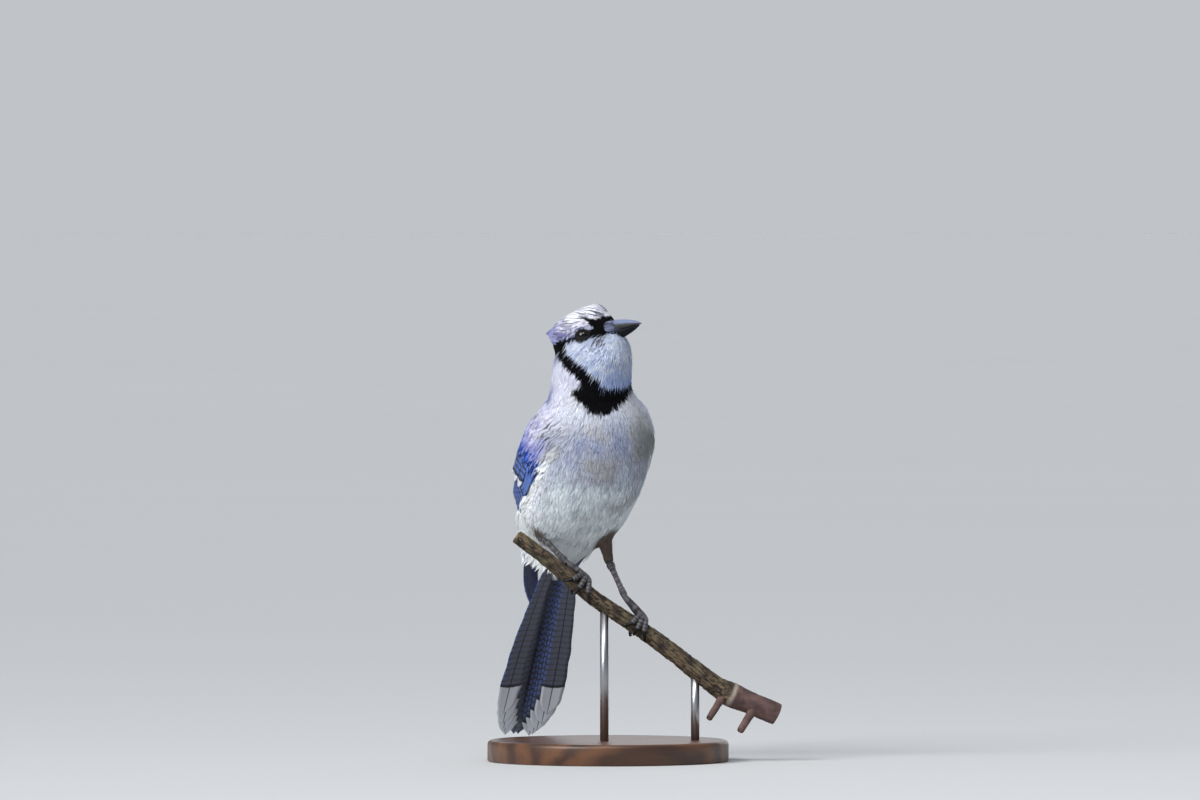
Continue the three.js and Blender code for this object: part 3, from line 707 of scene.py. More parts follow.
def path_distance(points, path, halves):
    """How far each point lies outside a band along a path, negative inside."""
    best = np.full(len(points), 1e9)
    for (a, b), (low, high) in zip(zip(path, path[1:]), zip(halves, halves[1:])):
        a, b = np.asarray(a, float), np.asarray(b, float)
        share = np.clip(((points - a) @ (b - a)) / ((b - a) ** 2).sum(), 0, 1)
        away = np.linalg.norm(points - a - share[:, None] * (b - a), axis=1)
        best = np.minimum(best, away - low - (high - low) * share)
    return best


def roughly(points, scale, offset=0.0):
    """Smooth noise from about -1 to 1 at each point, with a grain in millimetres."""
    return np.array([noise.noise(Vector(p) / scale + Vector((offset, 0, 0))) for p in points.tolist()]) * 1.7


def one_side(head):
    """Places in the head's frame, with the right half folded onto the left."""
    return np.abs(head) * (1, 0, 0) + head * (0, 1, 1)


def from_eye(points):
    """How far each point is from the front of the nearer eye."""
    return np.linalg.norm(one_side(in_head(points)) - (12.5, EYE["y"], EYE["z"]), axis=1)


def degrees_round(points):
    """How far round the body's upright line each point is, from straight ahead to the left."""
    return np.degrees(np.arctan2(points[:, 0], -points[:, 1]))


def round_the_trunk(points):
    """The share of the trunk's line by each point, and how the point faces: 1 in front, -1 at the back."""
    t, side, front = trunk.nearest(points)
    return t, front / np.maximum(np.hypot(side, front), 1e-6)


def mark_body(paint, points, facing, wave):
    """A mottled breast with painted shade on its left side, a pale belly with soft patches of painted shade
    low down, pale flanks, a blue back and grey brown thighs.
    """
    height = points[:, 2]
    blotch, patch = roughly(points, 13.0, 7), roughly(points * (1, 1, 0.5), 5.5, 11)
    stripe = roughly(points / (1, 1, 3.5), 2.6, 5)
    paint(BREAST_WARM, smooth(-0.1, 0.8, blotch + 0.6 * stripe) * 0.65)
    paint(BREAST_COOL, smooth(0.0, 0.9, -blotch + 0.6 * stripe) * 0.6)
    # Painted shade: the bird's left side of the breast, turned away from the window light, is painted a darker
    # warm grey.
    side = smooth(10, 26, points[:, 0] + 4 * stripe)
    paint(PAINTED_BREAST_SHADE, side * smooth(84, 94, height) * smooth(124, 114, height) * 0.7)
    paint(WHITE, smooth(100, 118, height + 3 * stripe) * 0.6)
    paint(BELLY, smooth(84, 56, height + 12 * blotch + 5 * stripe))
    # Painted shade: darker soft patches low on the belly, as shade in the folds of the plumage.
    paint(PAINTED_BELLY_SHADE, smooth(0.2, 0.9, stripe + 0.4 * patch) * smooth(92, 76, height) * 0.5)
    paint(WHITE, smooth(0.62, 0.2, facing) * smooth(98, 84, height))
    paint(NECK_SIDE, smooth(102, 116, height) * smooth(0.62, 0.2, facing))
    paint(MANTLE, smooth(0.1, -0.35, facing + 0.08 * wave) * smooth(150, 124, height))
    paint(RUMP_BLUE, smooth(-0.15, -0.5, facing) * smooth(88, 62, height) * 0.85)
    for thigh in thighs:
        _, across, ahead = thigh.nearest(points, 40)
        paint(TIBIA, smooth(8.5, 5.5, np.hypot(across, ahead)) * smooth(58, 50, height))


def mark_head(paint, points, facing, wave):
    """White sides of the neck, a pale face and throat, and a lavender crown with violet streaks."""
    head, height = in_head(points), points[:, 2]
    back, up = head[:, 1], head[:, 2]
    streak = roughly(points, 4.0, 3)
    paint(NECK_SIDE, smooth(124, 136, height) * smooth(-0.75, -0.3, facing + 0.06 * wave))
    nape = smooth(11, 13, back) * smooth(138, 148, height) * smooth(-0.3, -0.55, facing)
    paint(MANTLE, nape * 0.8)

    # The face, with pale rays from the chin. It ends at the widest part of the black cheek line.
    _, cheek_back, cheek_up = zip(*CHEEK_LINE[:2:-1])
    face = smooth(0.5, -0.5, back - np.interp(up, cheek_up, cheek_back)) * smooth(1.8, 0.6, up)
    face = face * smooth(-0.6, 0.6, height - np.interp(degrees_round(points), *NECKLACE_MIDDLE))
    from_chin = head - CHIN
    away = np.linalg.norm(from_chin, axis=1)
    rays = roughly(unit(from_chin) * 18 + away[:, None] * (0.12, 0.1, 0.14), 1.6, 17)
    paint(CHEEK, face)
    paint(WHITE, face * smooth(0, 0.8, rays) * 0.7)
    paint(FACE_SHADE, face * smooth(-0.15, -0.9, rays) * smooth(-2, 6, away - 3) * 0.5)
    paint(THROAT, face * smooth(143, 131, height + 3 * streak + 3 * rays) * 0.8)

    # The crown, with violet arcs over the brow painted as the shadows of the crest's feathers, and violet
    # streaks on the forehead.
    crown = smooth(0.6, -0.6, back - 13 + 0.4 * wave) * smooth(0.2, 1.4, up + 0.3 * wave)
    paint(CROWN_PALE, crown)
    paint(BROW, crown * smooth(9.5, 4.5, up) * 0.7)
    # Painted shadow: concentric violet arcs over the brow stand for the shadows that the crest's feathers cast.
    crest_shadow_arcs = smooth(0, 0.8, np.sin(2.3 * np.hypot(up - 3, back + 8) + 1.6 * wave) + 0.4 * streak)
    paint(VIOLET_STREAK_AND_SHADOW, crown * crest_shadow_arcs * smooth(-13, -5, back) * smooth(14, 8, up) * 0.95)
    paint(VIOLET_STREAK_AND_SHADOW, crown * smooth(0.1, 0.7, wave + streak) * smooth(-13, -17, back) * 0.7)
    paint(CREST_BLUE, crown * smooth(0, 12, back + 3.2 * wave) * (0.88 + 0.3 * streak))


def mark_black(paint, points, wave):
    """The black of the face, the line round the cheek, the necklace and the rim of the eye."""
    head = in_head(points)
    back, folded = head[:, 1], one_side(head)
    line = np.minimum(path_distance(folded, CHEEK_LINE, CHEEK_LINE_HALF),
                      path_distance(folded, UNDER_CREST, UNDER_CREST_HALF))
    lore = np.where(back < 0, edge_distance(back, head[:, 2], LORE), FAR)
    outline = [(DEGREE * a, h) for a, h in NECKLACE]
    necklace = edge_distance(degrees_round(points) * DEGREE, points[:, 2], outline)
    necklace = np.where(np.hypot(points[:, 0], points[:, 1]) > 12, necklace, FAR)
    eye_ring = np.linalg.norm(folded - (12.6, EYE["y"] - 0.2, EYE["z"]), axis=1) - 4.2
    for distance, soft in ((line, 0.5), (lore, 0.4), (necklace, 0.8), (eye_ring, 0.4)):
        paint(BLACK, smooth(soft, -soft, distance + 0.3 * wave))


def marking(points):
    """The colour of the plumage at each point of the body."""
    colour = np.broadcast_to(BREAST, points.shape).copy()

    def paint(dye, share):
        colour[:] = colour + (dye - colour) * np.clip(share, 0, 1)[:, None]

    facing, wave = round_the_trunk(points)[1], roughly(points, 2.4)
    mark_body(paint, points, facing, wave)
    mark_head(paint, points, facing, wave)
    mark_black(paint, points, wave)
    return colour


# Skin

COAT_DEPTH, FACE_DEPTH = 1.6, 0.5


def trunk_depth(t, angle):
    return -(COAT_DEPTH + (FACE_DEPTH + 0.5 - COAT_DEPTH) * smooth(0.62, 0.8, t)) * smooth(0, 0.08, t) - 0.3


def make_skin():
    """Trunk, head and thighs run together into one closed skin, in millimetres."""
    shapes = [trunk.body(60, 64, trunk_depth)[0], skull.body(40, 48, -FACE_DEPTH)[0]]
    shapes += [limb([lerp(leg["knee"], leg["heel"], q) for q in (*THIGH_SHARES[:4], 0.98, 1.06)],
                    [0, leg["thigh"] * 1.25, leg["thigh"], 3.6, 3.2, 0]).body(24, 20, -0.9)[0] for leg in LEGS]
    made = fused(shapes, 1.15, 5, 0.5)
    bmesh.ops.triangulate(made, faces=made.faces)
    bmesh.ops.recalc_face_normals(made, faces=made.faces)
    return to_mesh(made)


def corners_of(mesh):
    points = np.empty(3 * len(mesh.vertices), np.float32)
    mesh.vertices.foreach_get("co", points)
    triangles = np.empty(len(mesh.loops), np.int32)
    mesh.loops.foreach_get("vertex_index", triangles)
    return points.reshape(-1, 3).astype(float), triangles.reshape(-1, 3)


def gather(triangles, values, count):
    """The sum at each point of what its triangles hold."""
    return np.stack([sum(np.bincount(triangles[:, k], values[:, c], count) for k in range(3))
                     for c in range(values.shape[1])], -1)


def settled_heat(heat, held, edges, ease):
    """Heat at each point after it has run along the edges, each with its ease, between the held points."""
    def spill(u):
        d = (u[edges[:, 0]] - u[edges[:, 1]]) * ease
        return np.bincount(edges[:, 0], d, len(heat)) - np.bincount(edges[:, 1], d, len(heat))

    heat = heat.copy()
    left = np.where(held, 0, -spill(heat))
    step, size = left.copy(), (left * left).sum()
    for _ in range(700):
        pull = np.where(held, 0, spill(step))
        rate = size / (step * pull).sum()
        heat += rate * step
        left -= rate * pull
        size, before = (left * left).sum(), size
        if size < 1e-16:
            break
        step = left + step * (size / before)
    return heat


def coat_flow(points, triangles, normals):
    """The way the coat lies at each point, as heat would run from the bill to the tail and heels.

    It hardly runs through the eyes, so the coat parts round them.
    """
    count = len(points)
    edges = np.vstack([triangles[:, [a, b]] for a, b in ((0, 1), (1, 2), (2, 0))])
    edges = edges[edges[:, 0] < edges[:, 1]]
    ease = np.where((from_eye(points) < 4.6)[edges].any(1), 0.02, 1.0)
    warm = np.linalg.norm(in_head(points) - (0, -19, 2.5), axis=1) < 6
    cold = points[:, 2] < 31
    for leg in LEGS:
        cold |= np.linalg.norm(points - leg["heel"], axis=1) < 4.5
    start = np.where(cold, 1.0, np.where(warm, 0.0, (170 - points[:, 2]) / 140))
    heat = settled_heat(start, warm | cold, edges, ease)
    a, b, c = (points[triangles[:, k]] for k in range(3))
    normal = np.cross(b - a, c - a)
    area = np.maximum((normal**2).sum(-1, keepdims=True), 1e-9)
    slope = sum(np.cross(normal, edge) * heat[triangles[:, k]][:, None]
                for k, edge in enumerate((c - b, a - c, b - a)))
    flow = unit(gather(triangles, slope / np.sqrt(area), count))
    for _ in range(12):
        spread = np.stack([np.bincount(edges[:, 0], flow[edges[:, 1], k], count)
                           + np.bincount(edges[:, 1], flow[edges[:, 0], k], count) for k in range(3)], -1)
        flow = across_plane(flow + spread, normals)
    return flow


skin_mesh = make_skin()
skin_points, skin_triangles = corners_of(skin_mesh)
side_a, side_b = (skin_points[skin_triangles[:, k]] - skin_points[skin_triangles[:, 0]] for k in (1, 2))
skin_areas = np.linalg.norm(np.cross(side_a, side_b), axis=1) / 2
skin_normals = unit(gather(skin_triangles, np.cross(side_a, side_b), len(skin_points)))
skin_flow = coat_flow(skin_points, skin_triangles, skin_normals)
skin_colours = marking(skin_points)
skin_tree = BVHTree.FromPolygons(skin_points.tolist(), skin_triangles.tolist())


def skin_below(points):
    """The nearest place on the skin to each point, and the skin's normal there."""
    places, normals = np.empty(points.shape), np.empty(points.shape)
    for i, p in enumerate(points.tolist()):
        place, normal, _, _ = skin_tree.find_nearest(p)
        places[i], normals[i] = place, normal
    return places, normals


def unwrapped(points):
    """A place from 0 to 1 for each point: head on the left, trunk on the right, legs below the head."""
    t, side, front = trunk.nearest(points)
    head = in_head(points)
    on_the_head = head[:, 2] > -NECK_CUT
    turn = np.arctan2(side, front) / (2 * np.pi) + 0.5
    uv = np.stack([0.42 + 0.56 * turn, 0.2 + 0.78 * t / 0.8], -1)
    head_turn = np.arctan2(head[:, 0], -head[:, 2]) / (2 * np.pi) + 0.5
    head_uv = np.stack([0.02 + 0.38 * head_turn, 0.4 + (head[:, 1] + 24) / 46 * 0.55], -1)
    uv[on_the_head] = head_uv[on_the_head]
    for k, thigh in enumerate(thighs):
        reach, across, ahead = thigh.nearest(points, 40)
        near = (np.hypot(across, ahead) < 7.5) & (points[:, 2] < 56) & ~on_the_head
        leg_turn = np.arctan2(across, ahead) / (2 * np.pi) + 0.5
        uv[near] = np.stack([0.02 + 0.19 * k + 0.17 * leg_turn, 0.02 + 0.34 * reach], -1)[near]
    return np.clip(uv, 0.003, 0.997)


DOWN, PLUMAGE = skin_finish(), plumage_finish()
add_field(skin_mesh, "marking", "FLOAT_COLOR", opaque(skin_colours * 0.8))
show("skin", skin_mesh, DOWN, "body_feathers", "head", "neck", "torso", "thigh_left", "thigh_right")


# Tufts

PATCH = 0.003  # how far across a tuft's patch is on the OFBake map


def barb_faces(rows):
    """Triangles of one barb: rows of three points that end in a single tip."""
    faces = [(0, 2, 1)]
    for r in range(rows - 2):
        for k in range(3):
            a, b, c, d = 3 * r + k, 3 * r + (k + 1) % 3, 3 * r + 3 + (k + 1) % 3, 3 * r + 3 + k
            faces += [(a, b, c), (a, c, d)]
    last = 3 * (rows - 2)
    return np.array(faces + [(last + k, last + (k + 1) % 3, last + 3) for k in range(3)])


def sweep_barbs(spine, sideways, up, half, rise, colours, patches, patch_half):
    """Thin three-sided barbs along spines of rows of points, half wide to each side and rise high.

    patches says where on the OFBake map each barb's middle lies. Gives points, triangles, colours, maps and
    soft normals.
    """
    count, rows, _ = spine.shape
    inner = slice(0, rows - 1)
    across, lifted = sideways[:, inner] * half[:, inner, None], up[:, inner] * rise[:, inner, None]
    ring = np.stack([spine[:, inner] - across, spine[:, inner] + across, spine[:, inner] + lifted], 2)
    points = np.concatenate([ring.reshape(count, -1, 3), spine[:, -1:]], 1)
    dyed = np.concatenate([np.repeat(colours[:, inner], 3, 1), colours[:, -1:]], 1)
    per = points.shape[1]
    triangles = barb_faces(rows)[None] + per * np.arange(count)[:, None, None]
    along = np.append(np.repeat(np.linspace(-0.5, 0.5, rows)[:-1], 3), 0.5)
    aside = np.append(np.tile([-patch_half, patch_half, 0], rows - 1), 0)
    maps = patches[:, None] + PATCH * np.stack([aside, along], -1)[None]
    lean = 0.4 * sideways[:, inner]
    tilted = np.stack([up[:, inner] - lean, up[:, inner] + lean, up[:, inner]], 2)
    facing = unit(np.concatenate([tilted.reshape(count, -1, 3), up[:, -1:]], 1))
    return tuple(v.reshape(-1, v.shape[-1])
                 for v in (points, triangles, np.clip(dyed, 0, 1), np.clip(maps, 0, 1), facing))


def along_the_skin(spots, normals, flow, long, yaw):
    """Where the root, middle and tip of each tuft lie on the skin, and the skin's normals there."""
    turn = rng.normal(0, yaw, len(spots))[:, None]
    flow = unit(flow * np.cos(turn) + np.cross(normals, flow) * np.sin(turn))
    found = [skin_below(spots + flow * (long * q)[:, None]) for q in (0.5, 1)]
    return [spots, *(f[0] for f in found)], [normals, *(f[1] for f in found)]


def lay_tufts(stops, ups, wide, lift, colours, style):
    """Tufts through their stops, which are root, middle and tip.

    Each is a soft blade with thin barbs along its sides and tip, as wide as asked. Its tip lifts by lift, and
    its colour goes from a root painted darker and bluer, as shade under the tufts before it, to a plain tip.
    """
    count, rows, barbs = len(wide), style["rows"], style["barbs"]
    q_rows = np.linspace(0, 1, rows)
    b = np.append(0, np.linspace(-1, 1, barbs))  # across the tuft; the first is the blade's
    blade = np.arange(barbs + 1) == 0
    share = 1 - 0.3 * b ** 2 - np.abs(rng.normal(0, 0.1, (count, barbs + 1)))
    share[:, 0] = 0.86
    q = q_rows * share[..., None]
    weights = [1 - 3 * q + 2 * q * q, 4 * q - 4 * q * q, 2 * q * q - q]
    line = sum(w[..., None] * s[:, None, None] for w, s in zip(weights, stops))
    up = unit(sum(w[..., None] * u[:, None, None] for w, u in zip(weights, ups)))
    ahead = np.broadcast_to(unit(stops[2] - stops[0])[:, None, None], up.shape)
    sideways = unit(np.cross(up, ahead))
    sway = (rng.normal(0, style["fray"], (count, barbs + 1)) * np.where(blade, 0.3, 1))[..., None]
    spread = wide[:, None, None]
    offset = spread * (b[None, :, None] * (0.35 + 0.65 * q ** 0.8) + sway * q)
    uneven = 1 + rng.normal(0, 0.1, (count, barbs + 1))
    height = (lift[:, None] * uneven)[..., None] * (1 - (1 - q) ** 1.7) + 0.25 * q - 0.25
    height = height - 0.1 * spread * np.abs(b)[None, :, None] - np.where(blade, 0.12, 0)[None, :, None]
    spine = line + sideways * offset[..., None] + up * height[..., None]
    thin = style["thick"] * np.interp(q_rows, [0, 0.35, 0.75, 1], [0.7, 1, 0.75, 0])
    broad = style["blade"] * np.interp(q_rows, [0, 0.35, 0.8, 1], [0.5, 1, 0.85, 0])
    half = np.where(blade[None, :, None], spread * broad, thin)
    rise = np.where(blade[None, :, None], style["thick"] * 0.5 + 0.08 * spread * broad, 0.8 * thin)
    tone = 1 + rng.normal(0, 0.04, (count, 1, 1)) + rng.normal(0, style["contrast"], (count, barbs + 1, 1))
    # Painted shade: each tuft darker towards its root, and bluer in its lowest rows, as where it lies under the
    # tufts before it.
    painted_root_shade = tone * np.interp(q_rows, [0, 0.4, 1], style["painted_root_shade"])
    dyed = colours[:, None, None] * painted_root_shade[..., None] * np.where(q_rows[:, None] < 0.3, (0.95, 0.98, 1.04), 1)
    aside = np.tile(np.stack([b, 0 * b], -1), (count, 1))
    patches = np.repeat(unwrapped(stops[0]), barbs + 1, 0) + PATCH * 0.42 * aside
    flat = (count * (barbs + 1), rows, 3)
    spine, sideways, up, dyed = (v.reshape(flat) for v in (spine, sideways, up, dyed))
    half, rise = half.reshape(-1, rows), rise.reshape(-1, rows)
    return sweep_barbs(spine, sideways, up, half, rise, dyed, patches, 0.08)


def show_tufts(name, parts, slot, *nodes):
    """Joins sets of tufts into one coat piece."""
    points, triangles, colours, maps, facing = run_together(parts)
    mesh = arrays_mesh(points, triangles)
    add_field(mesh, "marking", "FLOAT_COLOR", opaque(colours))
    add_map(mesh, "OFBake", maps, triangles)
    show(name, mesh, PLUMAGE, slot, *nodes)
    mesh.normals_split_custom_set_from_vertices(facing.tolist())


# Wings

# The front of a folded wing's sheet: the share of the trunk's line, degrees round the trunk and how far out.
WING_LINE = [(0.54, -17, -3.4), (0.48, -23, -2), (0.42, -29, -1), (0.35, -36, -0.4), (0.29, -41, 0.2),
             (0.23, -46, 0.8)]
WING_END = [((13, 53.5, 39), (0.62, 0.66, 0.42)), ((6, 68, 11.5), (0.22, 0.83, 0.52))]
WING_ROUND = 31


def wing_sheet(sign):
    """The sheet that a folded wing lies in: places along it from the wrist, across to the back, and out."""
    t, angle, grow = np.array(WING_LINE).T
    angle = np.radians(angle if sign > 0 else 180 - angle)
    spots = trunk.point(t, angle, grow)
    outs = trunk.point(t, angle, 1) - trunk.point(t, angle)
    spots = np.vstack([spots, [np.array(at) * (sign, 1, 1) for at, _ in WING_END]])
    outs = np.vstack([outs, [np.array(out) * (sign, 1, 1) for _, out in WING_END]])
    shares = np.linspace(0, 1, 1500)
    line = spline(spots, shares, True)
    lengths = np.append(0, np.cumsum(np.linalg.norm(np.diff(line, axis=0), axis=1)))

    def sheet(s, x, h):
        s, x, h = (v[..., None] for v in np.broadcast_arrays(*(np.asarray(v, float) for v in (s, x, h))))
        inside = np.clip(s[..., 0], 0, lengths[-1])
        share = np.interp(inside, lengths, shares)
        at = spline(spots, share, True)
        past, before = np.minimum(share + 1e-3, 1), np.maximum(share - 1e-3, 0)
        along = unit(spline(spots, past, True) - spline(spots, before, True))
        out = across_plane(spline(outs, share), along)
        back = np.cross(out, along) * sign
        turn = x / WING_ROUND
        return (at + along * (s - inside[..., None]) + out * ((WING_ROUND + h) * np.cos(turn) - WING_ROUND)
                + back * (WING_ROUND + h) * np.sin(turn))
    return sheet


FLIGHT_SHAPE = [(0, 0.35), (0.08, 0.55), (0.3, 0.92), (0.62, 1), (0.84, 0.9), (0.94, 0.66), (1, 0.12)]
COVERT_SHAPE = [(0, 0.5), (0.3, 0.9), (0.65, 1), (0.85, 0.86), (0.95, 0.55), (1, 0.14)]
TAIL_SHAPE = [(0, 0.42), (0.2, 0.62), (0.55, 0.9), (0.85, 1), (0.94, 0.84), (0.985, 0.5), (1, 0.1)]
VANE_THICK, VANE_CAMBER, VANE_COLUMNS = 0.42, 0.16, 9


def two_sided(upper, lower):
    """The triangles of two grids of points that face away from each other."""
    faces = []
    for grid, order in ((upper, 1), (lower, -1)):
        a, b, c, d = grid[:-1, :-1], grid[:-1, 1:], grid[1:, 1:], grid[1:, :-1]
        faces.append(np.stack([a, b, c, a, c, d], -1).reshape(-1, 3)[:, ::order])
    return np.vstack(faces)


def vane(place, long, half, shape, dress, rows):
    """One flight feather as a thin closed vane with a shaft, which place(share along, across, height) puts.

    Gives points, triangles, map, dress and which points are on the lower side.
    """
    q = (1 - np.cos(np.linspace(0, np.pi, rows))) / 2 * 0.5 + np.linspace(0, 1, rows) * 0.5
    x = np.linspace(-1, 1, VANE_COLUMNS)
    x = np.sign(x) * np.abs(x) ** 1.25
    width = half * np.interp(q, *zip(*shape))
    ragged = 1 + 0.035 * np.sin(q * 40 + dress[3] * 9) + rng.normal(0, 0.02, rows)
    reach = (width * ragged)[:, None] * x[None]
    grid_q = np.broadcast_to(q[:, None], reach.shape) - 0.015 * np.abs(x)[None] ** 2
    body = 1 - np.abs(x[None]) ** 3
    shaft = np.exp(-(np.abs(x) / 0.13) ** 2)[None] * (1 - q[:, None]) ** 0.3
    dome = -VANE_CAMBER * reach ** 2 / half
    top = dome + (VANE_THICK / 2) * body + 0.22 * shaft
    low = dome - (VANE_THICK / 2) * body - 0.16 * shaft
    border = np.zeros(reach.shape, bool)
    border[[0, -1]] = border[:, [0, -1]] = True
    upper, lower = (place(grid_q, reach, np.where(border, dome, face)) for face in (top, low))
    points = np.vstack([upper.reshape(-1, 3), lower[~border]])
    number = np.arange(border.size).reshape(border.shape)
    under = number.copy()
    under[~border] = border.size + np.arange((~border).sum())
    u = np.broadcast_to((x / 2 + 0.5)[None], reach.shape)
    v = np.broadcast_to(((1 - q) * long / 10)[:, None], reach.shape)
    uv = np.stack([u, v], -1)
    uv = np.vstack([uv.reshape(-1, 2), uv[~border]])
    below = np.arange(len(points)) >= border.size
    return points, two_sided(number, under), uv, np.tile(dress, (len(points), 1)), below


def show_vanes(name, vanes, slot, *nodes):
    """Joins vanes into one piece."""
    points, triangles, uv, dress, below = run_together(vanes)
    mesh = arrays_mesh(points, triangles)
    add_field(mesh, "dress", "FLOAT_COLOR", dress)
    add_field(mesh, "under", "FLOAT", below)
    add_map(mesh, "vane", uv, triangles)
    made = bmesh.new()
    made.from_mesh(mesh)
    bmesh.ops.recalc_face_normals(made, faces=made.faces)
    made.to_mesh(mesh)
    made.free()
    show(name, mesh, FLIGHT, slot, *nodes)


def wing_feather(sheet, root, tip, half, low, high, slope, shape, dress, rows):
    """One feather of a folded wing from root to tip, each along and across it, at the levels low and high."""
    over, long = tip[1] - root[1], tip[0] - root[0]
    lean = np.arctan2(over, long)
    sway = rng.uniform(-0.5, 0.5)

    def place(q, x, h):
        across = root[1] + q * over + x * np.cos(lean) + sway * q * (1 - q)
        return sheet(root[0] + q * long - x * np.sin(lean), across, low + (high - low) * q - slope * x + h)
    return vane(place, long, half, shape, dress, rows)


def wing_vanes(sign):
    """Every feather of a folded wing, tier by tier, from the outermost of each tier."""
    sheet = wing_sheet(sign)
    made = []

    def tier(count, make):
        for i in range(count):
            made.append(wing_feather(sheet, *make(i, i / (count - 1))))

    def dress(bars, tip, pale):
        return np.array([bars, tip, pale, rng.uniform()])

    # Primaries, then secondaries.
    tips = np.interp(np.linspace(0, 1, 8), [0, 0.3, 0.6, 0.8, 1], [100, 121, 131, 126, 114])
    tier(8, lambda i, q: ((15 + 4 * q, -8.5 + 5 * q), (tips[i], -6 + 10.5 * q), 3.9, 0.5 + 2.2 * q,
                          0.5 + 2.2 * q, 0.16, FLIGHT_SHAPE, dress(0.35, 0, 0.15), 24))
    seconds = np.interp(np.linspace(0, 1, 9), [0, 0.25, 0.5, 0.75, 1], [99, 95, 88, 79, 66])
    tier(9, lambda i, q: ((22 + 8 * q, -5.5 + 15 * q), (seconds[i], -1.5 + 15.5 * q), 4.6, 3.3 + 0.9 * q,
                          3.3 + 0.9 * q, 0.2, FLIGHT_SHAPE, dress(1, 0.55 if i < 8 else 0.3, 0.1), 24))
    # The coverts of the primaries, and the three quills at the wrist.
    tier(5, lambda i, q: ((11, -9 + 5 * q), (44 + 5 * q, -9.5 + 6 * q), 2.3, 3 + 0.6 * q, 3.5 + 0.7 * q, 0.2,
                          COVERT_SHAPE, dress(0.55, 0, 0.25), 14))
    tier(3, lambda i, q: ((7, -9 + 3 * q), (30 + 5 * q, -10 + 4 * q), 2.0, 3.4 + 0.4 * q, 4.3 + 0.4 * q, 0.2,
                          COVERT_SHAPE, dress(0.8, 0, 0.1), 12))
    # The coverts of the secondaries: barred and white-tipped, then two plainer rows over them.
    tier(9, lambda i, q: ((20 + 3 * q, -5.5 + 18.5 * q), (52 - 4 * q, -5 + 20 * q), 2.9, 4.5,
                          5.6 + 0.3 * q, 0.2, COVERT_SHAPE, dress(1, 0.42, 0.1), 16))
    tier(9, lambda i, q: ((11, -5.5 + 18 * q), (36 - 2 * q, -6 + 20 * q), 2.7, 4.5, 6.7, 0.16,
                          COVERT_SHAPE, dress(0.35, 0, 0.45), 12))
    tier(9, lambda i, q: ((5, -5.5 + 17 * q), (25 - q, -6 + 19 * q), 2.6, 4.3, 7.2, 0.16,
                          COVERT_SHAPE, dress(0, 0, 0.85), 11))
    return made


FLIGHT = flight_finish()
for half, sign in (("left", 1), ("right", -1)):
    show_vanes("wing_feathers_" + half, wing_vanes(sign), "flight_feathers", "wing_" + half)


# Tail

TAIL = {"at": np.array([0, 43, 36.0]), "fall": np.radians(57), "length": 122, "half": 7}
TAIL_ALONG = np.array([0, np.cos(TAIL["fall"]), -np.sin(TAIL["fall"])])
TAIL_UP = np.array([0, np.sin(TAIL["fall"]), np.cos(TAIL["fall"])])
TAIL_STEPS = [0, 0.5, 2, 5, 10, 17]


def tail_sheet(s, x, h):
    """The sheet that the tail lies in: places along it from its root, across it and up from it."""
    s, x, h = (v[..., None] for v in np.broadcast_arrays(*(np.asarray(v, float) for v in (s, x, h))))
    return TAIL["at"] + TAIL_ALONG * s + SIDE * x + TAIL_UP * (h - 0.0004 * s * s)


def tail_feather(sign, k, step):
    """A feather of one side of the tail, k places out from the middle pair, which lies on top."""
    long = TAIL["length"] - step - (0.8 if sign < 0 else 0)
    root = sign * (3.8 + 0.45 * k if k else 1.2)
    tip = sign * (7.4 + 1.55 * (k - 1) if k else 1.6)
    level = 1.42 - 0.88 * k if k else 2.3 - (0.88 if sign < 0 else 0)
    slope = 0.1 if k else 0

    def place(q, x, h):
        across = root + (tip - root) * np.sin(q * np.pi / 2) + x
        return tail_sheet(q * long, across, level - slope * np.abs(x + tip) + h)

    white_tip = 0.5 + 0.25 * k if k else 0
    dress = np.array([1.0, white_tip, 0.12, rng.uniform() * 0.3])
    return vane(place, long, TAIL["half"], TAIL_SHAPE, dress, 34)


tail_vanes = [tail_feather(sign, k, step) for sign in (1, -1) for k, step in enumerate(TAIL_STEPS)]
show_vanes("tail_feathers", tail_vanes, "flight_feathers", "tail")


# Coat

WING_SEARCH = 16  # millimetres over the skin from where a wing is looked for


def covered(places, normals):
    """How high the outer side of a wing stands over each place on the skin, 0 where there is none."""
    high = np.zeros(len(places))
    for i, (p, n) in enumerate(zip(places.tolist(), normals.tolist())):
        way = Vector(n)
        hit = wing_tree.ray_cast(Vector(p) + way * WING_SEARCH, -way, WING_SEARCH - 0.1)
        if hit[0] is not None:
            high[i] = WING_SEARCH - hit[3]
    return high


def from_bill(points):
    """How far each point is from the bill's root."""
    return np.linalg.norm(in_head(points) - (0, -16, 1), axis=1)


def tuft_length(points):
    """Millimetres, from the smallest by the bill to the longest on the belly."""
    long = np.interp(from_bill(points), [0, 8, 20, 32, 50, 80, 115], [1.6, 2.5, 4.4, 6.0, 7.8, 9.8, 13.0])
    for leg in LEGS:
        long = np.minimum(long, 2.4 + 0.32 * np.linalg.norm(points - leg["heel"], axis=1))
    return long


